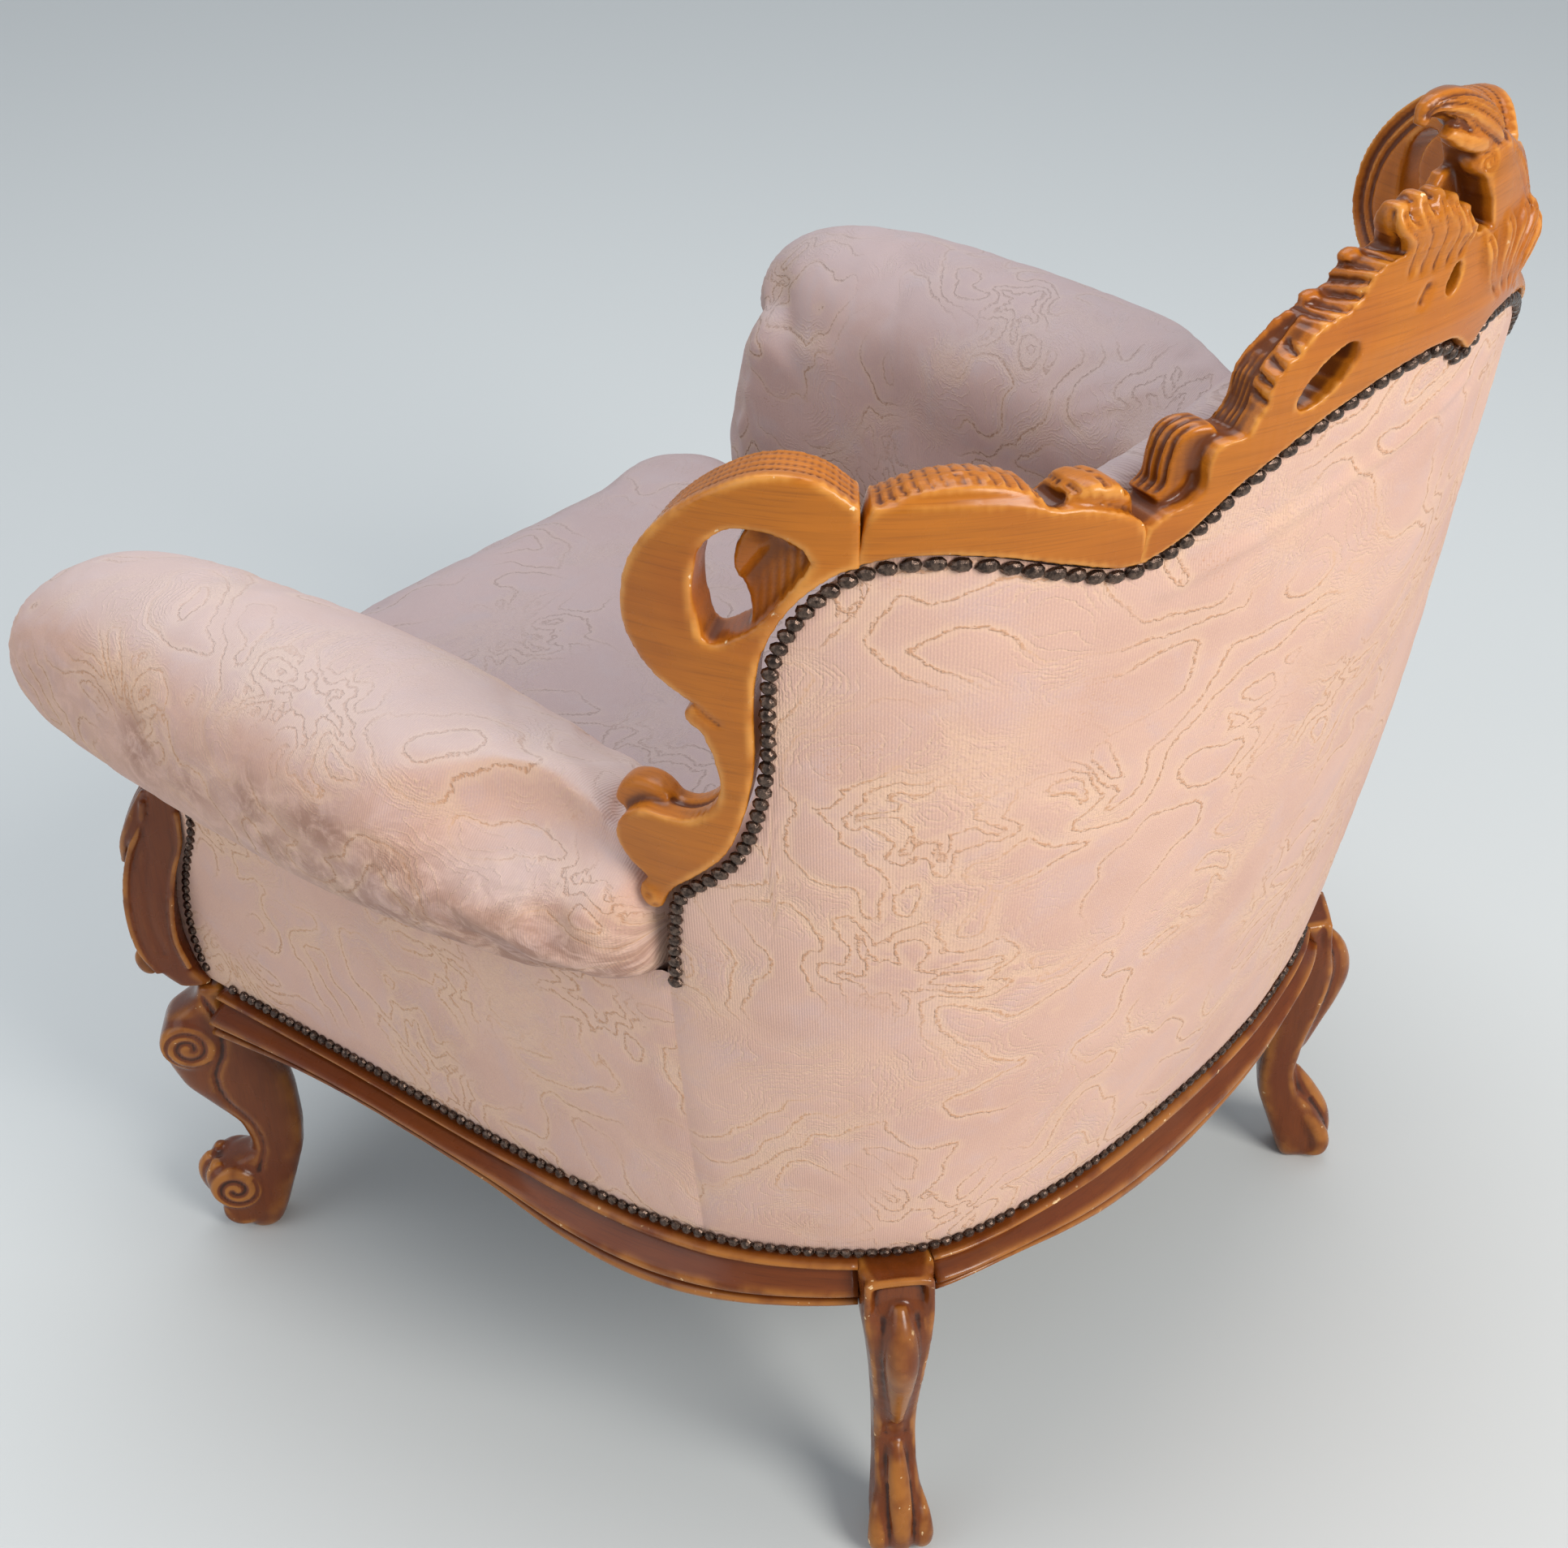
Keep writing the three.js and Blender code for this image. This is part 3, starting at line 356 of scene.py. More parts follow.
def closed_faces(rows, count):
    """The faces of a body through rings of points: its skin and a face on each end."""
    ends = [list(range(count))[::-1], [(rows - 1) * count + i for i in range(count)]]
    return grid_faces(rows, count, True).tolist() + ends


def normals_of(verts, quads):
    d = np.cross(verts[quads[:, 2]] - verts[quads[:, 0]], verts[quads[:, 3]] - verts[quads[:, 1]])
    total = np.stack([
        sum(np.bincount(quads[:, k], d[:, axis], len(verts)) for k in range(4)) for axis in range(3)
    ], 1)
    return total / np.maximum(np.linalg.norm(total, axis=1), 1e-12)[:, None]


def relaxed(verts, quads, rounds, share=0.5):
    """verts, each moved towards the mean of its neighbours, some rounds over."""
    a = np.concatenate([quads[:, k] for k in range(4)])
    b = np.concatenate([quads[:, (k + 1) % 4] for k in range(4)])
    count = np.maximum(np.bincount(a, minlength=len(verts)) + np.bincount(b, minlength=len(verts)), 1)
    v = np.array(verts, float)
    for _ in range(rounds):
        mean = np.stack([
            np.bincount(a, v[b, k], len(v)) + np.bincount(b, v[a, k], len(v)) for k in range(3)
        ], 1) / count[:, None]
        v += share * (mean - v)
    return v


def hollows(verts, quads, reach=10):
    """From 0 on worn outer edges, through 0.5 on plain faces, to 1 in hollows. verts in metres."""
    n = normals_of(verts, quads)
    soft = relaxed(verts, quads, reach)
    v = verts - verts.mean(0)
    volume = (v[quads[:, 0]] * np.cross(v[quads[:, 1]] - v[quads[:, 0]],
                                        v[quads[:, 2]] - v[quads[:, 0]])).sum()
    depth = ((soft - verts) * n).sum(1) / MM * (1 if volume > 0 else -1)
    return np.clip(0.5 + depth / 2.4, 0, 1)


def reshaped(mesh, kind, **settings):
    """(verts, quads) of a mesh after one modifier; the mesh itself is deleted."""
    obj = bpy.data.objects.new("rough", mesh)
    bpy.context.scene.collection.objects.link(obj)
    change = obj.modifiers.new("change", kind)
    for key, value in settings.items():
        setattr(change, key, value)
    made = bpy.data.meshes.new_from_object(obj.evaluated_get(bpy.context.evaluated_depsgraph_get()))
    verts = np.empty(len(made.vertices) * 3)
    made.vertices.foreach_get("co", verts)
    quads = np.empty(len(made.loops), int)
    made.loops.foreach_get("vertex_index", quads)
    bpy.data.objects.remove(obj)
    bpy.data.meshes.remove(mesh)
    bpy.data.meshes.remove(made)
    return verts.reshape(-1, 3), quads.reshape(-1, 4)


def fused(parts, voxel, rounds=2):
    """One closed skin round overlapping closed parts [(verts, faces)], all in mm."""
    verts, faces, base = [], [], 0
    for v, f in parts:
        verts.append(np.asarray(v, float))
        faces += [[i + base for i in face] for face in (f.tolist() if isinstance(f, np.ndarray) else f)]
        base += len(v)
    mesh = bpy.data.meshes.new("parts")
    mesh.from_pydata(np.vstack(verts).tolist(), [], faces)
    mesh.validate()
    skin, quads = reshaped(mesh, "REMESH", mode="VOXEL", voxel_size=voxel)
    return relaxed(skin, quads, rounds), quads


def carve(verts, quads, lines, depth, wide):
    """Cuts grooves of that depth and width along lines of points, into the skin."""
    n = normals_of(verts, quads)
    tree = kdtree.KDTree(sum(len(x) for x in lines))
    at = 0
    for line in lines:
        for p in line:
            tree.insert(p, at)
            at += 1
    tree.balance()
    away = np.array([tree.find(p)[2] for p in verts])
    return verts - n * (depth * np.exp(-(away / wide)**2))[:, None]


def inside(points, polygon):
    """Which points lie in the polygon, by the even-odd rule."""
    x, y = points[:, 0][:, None], points[:, 1][:, None]
    a, b = np.asarray(polygon, float), np.roll(np.asarray(polygon, float), -1, axis=0)
    crosses = (a[:, 1] > y) != (b[:, 1] > y)
    rise = np.where(np.abs(b[:, 1] - a[:, 1]) < 1e-9, 1e-9, b[:, 1] - a[:, 1])
    left = x < (b[:, 0] - a[:, 0]) * (y - a[:, 1]) / rise + a[:, 0]
    return (crosses & left).sum(1) % 2 == 1


def on_slab(points, loops):
    """Which points lie in the first loop and in none of the others."""
    keep = inside(points, loops[0])
    for hole in loops[1:]:
        keep &= ~inside(points, hole)
    return keep


def slab(outline, holes, inner, outer, step=6.0):
    """A closed slab over an outline in s and z; inner and outer are out, or functions of points."""
    loops = [np.asarray(outline, float)] + [np.asarray(h, float) for h in holes]
    low, high = loops[0].min(0), loops[0].max(0)
    gx, gy = np.meshgrid(np.arange(low[0], high[0], step) + step / 2,
                         np.arange(low[1], high[1], step) + step / 2)
    inner_points = np.stack([gx.ravel(), gy.ravel()], 1)
    edges, points, base = [], [], 0
    for loop in loops:
        edges += [(base + i, base + (i + 1) % len(loop)) for i in range(len(loop))]
        points += loop.tolist()
        base += len(loop)
    points += inner_points[on_slab(inner_points, loops)].tolist()
    made = geometry.delaunay_2d_cdt([Vector(p) for p in points], edges, [], 0, 1e-4)
    flat = np.array([tuple(p) for p in made[0]])
    tris = np.array(made[2])
    tris = tris[on_slab(flat[tris].mean(1), loops)]
    count = len(flat)
    value = lambda f: np.full(count, float(f)) if np.isscalar(f) else f(flat)
    verts = np.vstack([np.column_stack([flat, value(outer)]), np.column_stack([flat, value(inner)])])
    faces = [list(map(int, t)) for t in tris] + [[int(i) + count for i in t[::-1]] for t in tris]
    sides = dict.fromkeys((t[i], t[(i + 1) % 3]) for t in tris.tolist() for i in range(3))
    faces += [[b, a, a + count, b + count] for a, b in sides if (b, a) not in sides]
    return verts, faces


def bar_run(path, half, inner, outer, steps):
    """A bar's middle line with its half width and two depths, and the direction across it."""
    data = np.column_stack([np.asarray(path, float)]
                           + [np.broadcast_to(v, len(path)) for v in (half, inner, outer)])
    run = spline(data, steps)
    t = directions(run[:, :2])
    return run, np.stack([-t[:, 1], t[:, 0]], 1)


def bar_section(turn):
    """The bar's rounded section at an angle: how far across, from -1 to 1, and how deep, to 1."""
    return np.sign(np.cos(turn)) * np.abs(np.cos(turn))**0.6, \
        0.5 + 0.5 * np.sign(np.sin(turn)) * np.abs(np.sin(turn))**0.6


def bar(path, half, inner, outer, steps=60):
    """A bar along a path in s and z. half, inner and outer are given at each path point."""
    run, side = bar_run(path, half, inner, outer, steps)
    across, deep = bar_section(np.arange(16) / 16 * 2 * np.pi)
    at = run[:, None, :2] + side[:, None, :] * (across[None, :] * run[:, 2:3])[:, :, None]
    out = run[:, 3:4] + (run[:, 4:5] - run[:, 3:4]) * deep[None, :]
    return np.concatenate([at, out[:, :, None]], 2).reshape(-1, 3), closed_faces(steps, len(across))


def ball(at, radii, rows=12, around=20):
    """An egg shape in mm, for knobs and lobes."""
    a = np.linspace(0, np.pi, rows + 1)[1:-1, None]
    b = np.arange(around) / around * 2 * np.pi
    p = np.stack([np.sin(a) * np.cos(b), np.sin(a) * np.sin(b), np.cos(a) * np.ones(around)], -1)
    verts = np.vstack([p.reshape(-1, 3), [[0, 0, 1]], [[0, 0, -1]]]) * radii + np.asarray(at, float)
    n = (rows - 1) * around
    faces = grid_faces(rows - 1, around, True).tolist()
    faces += [[n, (i + 1) % around, i] for i in range(around)]
    last = (rows - 2) * around
    faces += [[n + 1, last + i, last + (i + 1) % around] for i in range(around)]
    return verts, faces


def loft(rings):
    """A closed body through rings of points, (rings, points, 3)."""
    rings = np.asarray(rings, float)
    rows, count = rings.shape[:2]
    return rings.reshape(-1, 3), closed_faces(rows, count)


def spiral(centre, start, end, turns, from_angle, count=90):
    """Points [a, b] on a spiral from radius start to end; turns below 0 run clockwise."""
    t = np.linspace(0, 1, count)
    a = from_angle + 2 * np.pi * turns * t
    r = start + (end - start) * t**0.8
    return np.stack([centre[0] + r * np.cos(a), centre[1] + r * np.sin(a)], 1)


# ------------------------------------------------------------------ materials

class Look:
    """A material under construction: thin helpers over its node tree."""

    def __init__(self, name):
        self.material = bpy.data.materials.new(name)
        self.material.use_nodes = True
        self.tree = self.material.node_tree
        self.shader = self.tree.nodes["Principled BSDF"]

    def node(self, kind, inputs=None, **settings):
        made = self.tree.nodes.new("ShaderNode" + kind)
        for key, value in settings.items():
            setattr(made, key, value)
        for key, value in (inputs or {}).items():
            self.put(made.inputs[key], value)
        return made

    def put(self, socket, value):
        if isinstance(value, bpy.types.NodeSocket):
            self.tree.links.new(value, socket)
        else:
            socket.default_value = value

    def set(self, **values):
        for key, value in values.items():
            self.put(self.shader.inputs[key.replace("_", " ")], value)

    def math(self, operation, a, b=0.0, clamp=False):
        return self.node("Math", {0: a, 1: b}, operation=operation, use_clamp=clamp).outputs[0]

    def ramp(self, value, low, high, to_low=0.0, to_high=1.0):
        made = self.node("MapRange", {"Value": value, "From Min": low, "From Max": high,
                                      "To Min": to_low, "To Max": to_high},
                         interpolation_type="SMOOTHSTEP")
        return made.outputs["Result"]

    def mix(self, share, a, b, blend="MIX"):
        made = self.node("Mix", data_type="RGBA", blend_type=blend)
        self.put(made.inputs["Factor"], share)
        for name, value in (("A", a), ("B", b)):
            socket = [s for s in made.inputs if s.name == name and s.type == "RGBA"][0]
            self.put(socket, value if isinstance(value, bpy.types.NodeSocket) else (*value, 1))
        return [s for s in made.outputs if s.type == "RGBA"][0]

    def attribute(self, name, vector=False):
        made = self.node("Attribute", attribute_name=name, attribute_type="GEOMETRY")
        return made.outputs["Vector" if vector else "Fac"]

    def place(self):
        return self.node("TexCoord").outputs["Object"]

    def scaled(self, vector, scale):
        return self.node("Mapping", {"Vector": vector, "Scale": scale}).outputs[0]

    def noise(self, vector, scale, detail=3.0, roughness=0.5, distortion=0.0):
        return self.node("TexNoise", {"Vector": vector, "Scale": scale, "Detail": detail,
                                      "Roughness": roughness, "Distortion": distortion}).outputs[0]

    def lift(self):
        """How much the surface faces up: 1 on top, 0 on a wall."""
        normal = self.node("NewGeometry").outputs["Normal"]
        return self.node("SeparateXYZ", {0: normal}).outputs[2]

    def bump(self, height, strength, distance, after=None):
        made = self.node("Bump", {"Height": height, "Strength": strength, "Distance": distance})
        if after is not None:
            self.put(made.inputs["Normal"], after)
        return made.outputs[0]


def wood_look(name, face, deep, edge, chip, rough, worn=0.6):
    """Lacquered carved wood: dark in the hollows, light on rubbed edges, small chips."""
    k = Look(name)
    grain_at = k.scaled(k.attribute("grain", True), (7, 95, 95))
    hollow = k.attribute("hollow")
    at = k.place()
    grain = k.noise(grain_at, 1.0, 5, 0.6, 0.6)
    cloud = k.noise(at, 9, 3)
    fine = k.noise(k.scaled(k.attribute("grain", True), (30, 900, 900)), 1.0, 2, 0.5)
    tone = k.mix(k.math("MULTIPLY", k.ramp(grain, 0.3, 0.72), 0.5), face, tuple(0.6 * c for c in face))
    tone = k.mix(k.math("MULTIPLY", k.ramp(cloud, 0.4, 0.72), 0.6), tone,
                 (face[0] * 0.72, face[1] * 0.55, face[2] * 0.6))
    tone = k.mix(k.math("MULTIPLY", k.ramp(fine, 0.5, 0.72), 0.22), tone, deep)
    tone = k.mix(k.math("MULTIPLY", k.ramp(hollow, 0.56, 0.92), 0.9), tone, deep)
    rubbed = k.math("MULTIPLY", k.ramp(hollow, 0.47, 0.22), k.ramp(k.noise(at, 30, 3), 0.3, 0.6))
    tone = k.mix(k.math("MULTIPLY", rubbed, worn), tone, edge)
    nicks = k.math("MULTIPLY", k.ramp(hollow, 0.36, 0.22), k.ramp(k.noise(at, 170, 2), 0.69, 0.74))
    tone = k.mix(nicks, tone, chip)
    k.set(Base_Color=tone)
    dull = k.math("ADD", k.ramp(k.noise(at, 26, 4), 0.3, 0.7, rough - 0.07, rough + 0.1),
                  k.math("MULTIPLY", nicks, 0.35))
    k.set(Roughness=dull)
    k.shader.inputs["Coat Weight"].default_value = 0.12
    k.shader.inputs["Coat Roughness"].default_value = 0.14
    k.shader.inputs["Specular IOR Level"].default_value = 0.3
    first = k.bump(grain, 0.12, 0.0006)
    second = k.bump(k.math("MULTIPLY", nicks, -1.0), 0.5, 0.0006, first)
    k.set(Normal=k.bump(k.noise(at, 60, 3), 0.1, 0.0012, second))
    return k.material


RIB_WAVE = 0.314159                # scale of a Wave texture whose bands are a metre apart


def cloth_look(name, light, dark, thread, cool, pale, sky_lit_tone, rib=1.5):
    """Ribbed furnishing cloth with raised wandering lines, stains, painted shade and painted sky light."""
    k = Look(name)
    lines = k.attribute("weave", True)
    parts = k.node("SeparateXYZ", {0: lines}).outputs
    place = k.attribute("cloth", True)
    stains_and_shade = k.attribute("stains_and_shade")
    field, slope, strength = parts[0], parts[1], parts[2]
    per_mm = k.math("MAXIMUM", k.math("MULTIPLY", slope, 0.01), 0.0018)

    shake = k.math("SUBTRACT", k.noise(place, 150, 3, 0.6), 0.5)
    field = k.math("ADD", field, k.math("MULTIPLY", k.math("MULTIPLY", shake, 7.0), per_mm))

    def contour(count, low, high):
        wave = k.math("ABSOLUTE", k.math("SINE", k.math("MULTIPLY", field, math.pi * count)))
        away = k.math("DIVIDE", wave, k.math("MULTIPLY", per_mm, math.pi * count))
        return k.ramp(away, low, high, 1.0, 0.0)

    wobble = k.noise(place, 420, 2)
    shown = k.ramp(strength, 0.25, 0.8, 0.1, 1.0)
    main = k.math("MULTIPLY", contour(MOTIF_LINES, 0.3, 1.25), shown)
    stitched = k.math("MULTIPLY", main, k.ramp(wobble, 0.36, 0.58, 0.2, 1.0))
    halo = k.math("MULTIPLY", contour(MOTIF_LINES, 0.8, 5.5), shown)
    echo = k.math("MULTIPLY", contour(MOTIF_LINES * 7, 0.15, 1.0),
                  k.ramp(k.noise(place, 10, 2), 0.46, 0.58))
    echo = k.math("MULTIPLY", echo, k.ramp(wobble, 0.34, 0.56, 0.3, 1.0))
    rows = k.node("TexWave", {"Vector": k.scaled(place, (1, 0.02, 0)), "Scale": RIB_WAVE / (rib * MM),
                              "Distortion": 0.7, "Detail": 1.0, "Detail Scale": 2.0},
                  wave_type="BANDS", bands_direction="X").outputs[1]
    picks = k.noise(k.scaled(place, (1, 0.45, 1)), 1300, 2)
    cloud = k.noise(place, 5.5, 4, 0.55)
    nap = k.noise(place, 24, 5, 0.6, 0.7)
    speckle = k.math("MULTIPLY", k.ramp(k.noise(place, 520, 3, 0.7), 0.54, 0.64),
                     k.ramp(k.noise(place, 17, 4, 0.6), 0.56, 0.7))
    tone = k.mix(k.ramp(cloud, 0.36, 0.66), light, dark)
    tone = k.mix(k.math("MULTIPLY", k.ramp(nap, 0.44, 0.72), 0.6), tone, cool)
    tone = k.mix(k.math("MULTIPLY", k.ramp(rows, 0.25, 0.9), 0.26), tone, dark)
    tone = k.mix(k.math("MULTIPLY", k.ramp(picks, 0.42, 0.68), 0.3), tone, pale)
    tone = k.mix(k.math("MULTIPLY", halo, 0.42), tone, pale)
    tone = k.mix(k.math("MULTIPLY", echo, 0.42), tone, pale)
    tone = k.mix(k.math("MULTIPLY", speckle, 0.5), tone, thread)
    tone = k.mix(k.math("MULTIPLY", stitched, 0.66), tone, thread)
    # Real stains and painted shade on the near roll darken the cloth towards one brown.
    stain_and_shade_mark = k.math("MULTIPLY", stains_and_shade, k.ramp(k.noise(place, 55, 5, 0.65, 0.8), 0.3, 0.62), clamp=True)
    tone = k.mix(k.math("MULTIPLY", stain_and_shade_mark, 0.7), tone, (0.30, 0.145, 0.095))
    # Painted sky light: cloth that faces up is mixed towards a paler, greyer tone.
    sky_lit_share = k.ramp(k.lift(), 0.35, 0.95)
    tone = k.mix(k.math("MULTIPLY", sky_lit_share, 0.5), tone, sky_lit_tone)
    k.set(Base_Color=tone)
    k.set(Roughness=k.ramp(nap, 0.3, 0.7, 0.78, 0.94))
    k.shader.inputs["Sheen Weight"].default_value = 0.12
    k.shader.inputs["Sheen Roughness"].default_value = 0.4
    k.shader.inputs["Sheen Tint"].default_value = (0.85, 0.9, 1.0, 1)
    k.shader.inputs["Specular IOR Level"].default_value = 0.22
    first = k.bump(rows, 0.3, 0.0005)
    second = k.bump(picks, 0.3, 0.0003, first)
    third = k.bump(echo, 0.5, 0.0007, second)
    k.set(Normal=k.bump(k.math("MULTIPLY", stitched, -1.0), 0.6, 0.0012, third))
    return k.material


def plain_look(name, light, dark, rough, scale, bump, metal=0.0):
    """Bronze, raw wood, webbing and lining: two tones, uneven gloss and a fine surface."""
    k = Look(name)
    at = k.place()
    tone = k.mix(k.ramp(k.noise(at, scale, 4, 0.6), 0.35, 0.66), light, dark)
    k.set(Base_Color=tone)
    k.set(Roughness=k.ramp(k.noise(at, scale * 2.3, 3), 0.3, 0.7, rough - 0.1, rough + 0.1))
    k.shader.inputs["Metallic"].default_value = metal
    k.set(Normal=k.bump(k.noise(at, scale * 5, 3), bump, 0.0006))
    return k.material


HONEY = wood_look("honey wood", (0.50, 0.150, 0.008), (0.095, 0.020, 0.004),
                  (0.80, 0.35, 0.07), (0.86, 0.64, 0.38), 0.28)
DARK = wood_look("dark wood", (0.180, 0.042, 0.007), (0.034, 0.008, 0.003),
                 (0.48, 0.18, 0.03), (0.80, 0.56, 0.30), 0.25, 0.7)
ROSE = cloth_look("rose cloth", (0.70, 0.445, 0.355), (0.61, 0.37, 0.295), (0.52, 0.245, 0.12),
                  (0.62, 0.43, 0.40), (0.80, 0.54, 0.36), (0.56, 0.50, 0.50))
# A darker, greyer copy of the rose cloth: painted shade, for the far arm, the seat, the inside back and the
# front strip.
ROSE_IN_SHADE = cloth_look("rose cloth in painted shade", (0.50, 0.345, 0.315), (0.42, 0.28, 0.255), (0.27, 0.14, 0.075),
                   (0.45, 0.36, 0.36), (0.56, 0.40, 0.30), (0.48, 0.40, 0.41))
BRONZE = plain_look("bronze", (0.15, 0.10, 0.075), (0.045, 0.030, 0.024), 0.26, 320, 0.3, 0.85)
RAW = plain_look("raw wood", (0.60, 0.44, 0.27), (0.46, 0.31, 0.17), 0.72, 30, 0.25)
WEBBING = plain_look("webbing", (0.27, 0.24, 0.19), (0.17, 0.15, 0.12), 0.85, 420, 0.6)
LINING = plain_look("lining", (0.035, 0.034, 0.034), (0.018, 0.018, 0.019), 0.9, 300, 0.5)

# ------------------------------------------------------------------ base rails

RAIL_TOP = 270
RAIL_PROFILE = [
    (-24, 1), (1, 1), (4.5, 0.985), (8.0, 0.955), (9.4, 0.9), (8.4, 0.85), (4.6, 0.815), (2.0, 0.78),
    (2.4, 0.74), (6.0, 0.68), (10.0, 0.61), (13.8, 0.55), (17.4, 0.50), (19.6, 0.445), (20.0, 0.39),
    (18.4, 0.34), (14.4, 0.305), (10.6, 0.28), (10.4, 0.255), (14.0, 0.23), (17.8, 0.20),
    (19.0, 0.155), (18.8, 0.10), (17.0, 0.045), (13.0, 0.01), (9, 0), (-24, 0),
]
RAIL_FOOT_S = [0, 70, 144, 200, 246, 300, 385, 450, 520, 600, 700, 790, 900]
RAIL_FOOT_Z = [202, 213, 232, 243, 238, 229, 220, 214, 221, 243, 250, 247, 230]
REAR_LEG_S = 272
REAR_BLOCK = 26
RAIL_END_S = 872
FRONT_PLAN = [(-383, -337), (-250, -384), (0, -408), (250, -384), (383, -337)]
FRONT_XY = spline(FRONT_PLAN, 1201)
FRONT_T = directions(FRONT_XY)


def front(t, z, out):
    """Points on the bowed front, t from 0 at the right corner to 1 at the left one, in metres."""
    t, z, out = np.broadcast_arrays(*(np.asarray(v, float) for v in (t, z, out)))
    x, y, tx, ty = curve_at(t, np.linspace(0, 1, len(FRONT_XY)), FRONT_XY, FRONT_T)
    return np.stack([x + ty * out, y - tx * out + SHIFT_Y, z], -1) * MM


def rail(name, stations, foot, place, along):
    """A length of moulded rail; along is the distance run at each station, for the grain."""
    profile = np.array(RAIL_PROFILE, float)
    fine = []
    for a, b in zip(profile[:-1], profile[1:]):
        parts = max(2, int(np.hypot(b[0] - a[0], (b[1] - a[1]) * 40) / 1.6))
        fine += [a + (b - a) * i / parts for i in range(parts)]
    fine = np.array(fine + [profile[-1]])
    soft = fine.copy()
    for _ in range(3):
        soft[1:-1] += 0.5 * ((soft[:-2] + soft[2:]) / 2 - soft[1:-1])
    out, share = soft[:, 0], soft[:, 1]
    rows = len(stations)
    z = foot[:, None] + (RAIL_TOP - foot)[:, None] * share[None, :]
    dents = 0.25 * noise2(along[:, None] / 23 + 0 * z, z / 11, 21)
    verts = place(stations[:, None] + 0 * z, z, out[None, :] + dents * (out > 2)[None, :])
    count = len(out)
    flat = verts.reshape(-1, 3)
    grain = np.stack([along[:, None] + 0 * z, z, out[None, :] + 0 * z], -1).reshape(-1, 3) * MM
    wooden_piece(name + "_wood", flat, closed_faces(rows, count), grid_faces(rows, count, True), 9,
                 grain, DARK, "dark_wood", name)


def tub_rail(name, start, end, stations):
    """A rail that follows the tub, its foot curved as the table says."""
    s = np.linspace(start, end, stations)
    rail(name, s, table(RAIL_FOOT_S, RAIL_FOOT_Z, s), tub, s)


tub_rail("base_rail_back", -REAR_LEG_S + REAR_BLOCK, REAR_LEG_S - REAR_BLOCK, 90)
tub_rail("base_rail_left", REAR_LEG_S + REAR_BLOCK, RAIL_END_S + 20, 110)
tub_rail("base_rail_right", -REAR_LEG_S - REAR_BLOCK, -RAIL_END_S - 20, 110)
FRONT_T_RANGE = np.linspace(0.018, 0.982, 116)
rail("base_rail_front", FRONT_T_RANGE, 214 - 28 * np.cos(4 * np.pi * FRONT_T_RANGE), front,
     FRONT_T_RANGE * 800)

# ------------------------------------------------------------------ legs and arm posts

# Each leg is shaped in its own space: d outwards, w across, z up, all in mm.

POST_BASE = (379, -321)


def front_corner(side):
    """Where the front leg and the arm post stand, and the way that they face."""
    along = np.array([side, -1, 0]) / math.sqrt(2)
    return np.array([side * POST_BASE[0], POST_BASE[1], 0.0]), along


def rear_corner(side):
    """Where the rear leg stands, and the way that it faces."""
    on_cover, off_cover = (tub(side * REAR_LEG_S, PLAN_Z, out) / MM for out in (0, 1))
    return on_cover - [0, SHIFT_Y, PLAN_Z], off_cover - on_cover


def stand(local, base, along):
    """Points of a leg's own space, at its corner, in metres in the row frame."""
    across = np.array([-along[1], along[0], 0])
    at = base + local[:, :1] * along + local[:, 1:2] * across
    at[:, 2] += local[:, 2]
    at[:, 1] += SHIFT_Y
    return at * MM


def upright_body(outer, inner, wide, power, rows=110, around=44):
    """A body whose section at each z runs from inner to outer in d, and wide across."""
    o, n = np.array(outer, float), np.array(inner, float)
    z = np.linspace(max(o[:, 1].min(), n[:, 1].min()), min(o[:, 1].max(), n[:, 1].max()), rows)
    d1, d0 = np.interp(z, o[::-1, 1], o[::-1, 0]), np.interp(z, n[::-1, 1], n[::-1, 0])
    w = np.interp(z, [a for a, _ in wide], [b for _, b in wide])
    for _ in range(3):
        for v in (d1, d0, w):
            v[1:-1] += 0.5 * ((v[:-2] + v[2:]) / 2 - v[1:-1])
    a = np.arange(around) / around * 2 * np.pi
    ca, sa = (np.sign(f) * np.abs(f)**power for f in (np.cos(a), np.sin(a)))
    d = (d1 + d0)[:, None] / 2 + (d1 - d0)[:, None] / 2 * ca
    return loft(np.stack([d, w[:, None] * sa, z[:, None] + 0 * d], -1))


def drum(at, radius, half, around=40):
    """A short drum across the leg, with rounded rims, for a volute."""
    steps = np.linspace(-1, 1, 15)
    shrink = (1 - np.abs(steps)**6)**0.5 * 0.16 + 0.84
    a = np.arange(around) / around * 2 * np.pi
    rings = [np.stack([at[0] + radius * k * np.cos(a), 0 * a + half * t, at[1] + radius * k * np.sin(a)], 1)
             for t, k in zip(steps, shrink)]
    return loft(rings)


ASIDE = (0.13, 0.97, 0.2)          # a direction that no tube on a leg runs along


def tube(path, radii, steps=40, around=16):
    """A round bar through points in space, in mm."""
    run = spline(np.column_stack([np.asarray(path, float), np.broadcast_to(radii, len(path))]), steps)
    p, r = run[:, :3], run[:, 3]
    t = directions(p)
    u = np.cross(t, ASIDE)
    u /= np.linalg.norm(u, axis=1)[:, None]
    v = np.cross(t, u)
    a = np.arange(around) / around * 2 * np.pi
    rings = (p[:, None] + (r[:, None] * np.cos(a))[:, :, None] * u[:, None]
             + (r[:, None] * np.sin(a))[:, :, None] * v[:, None])
    return loft(rings)


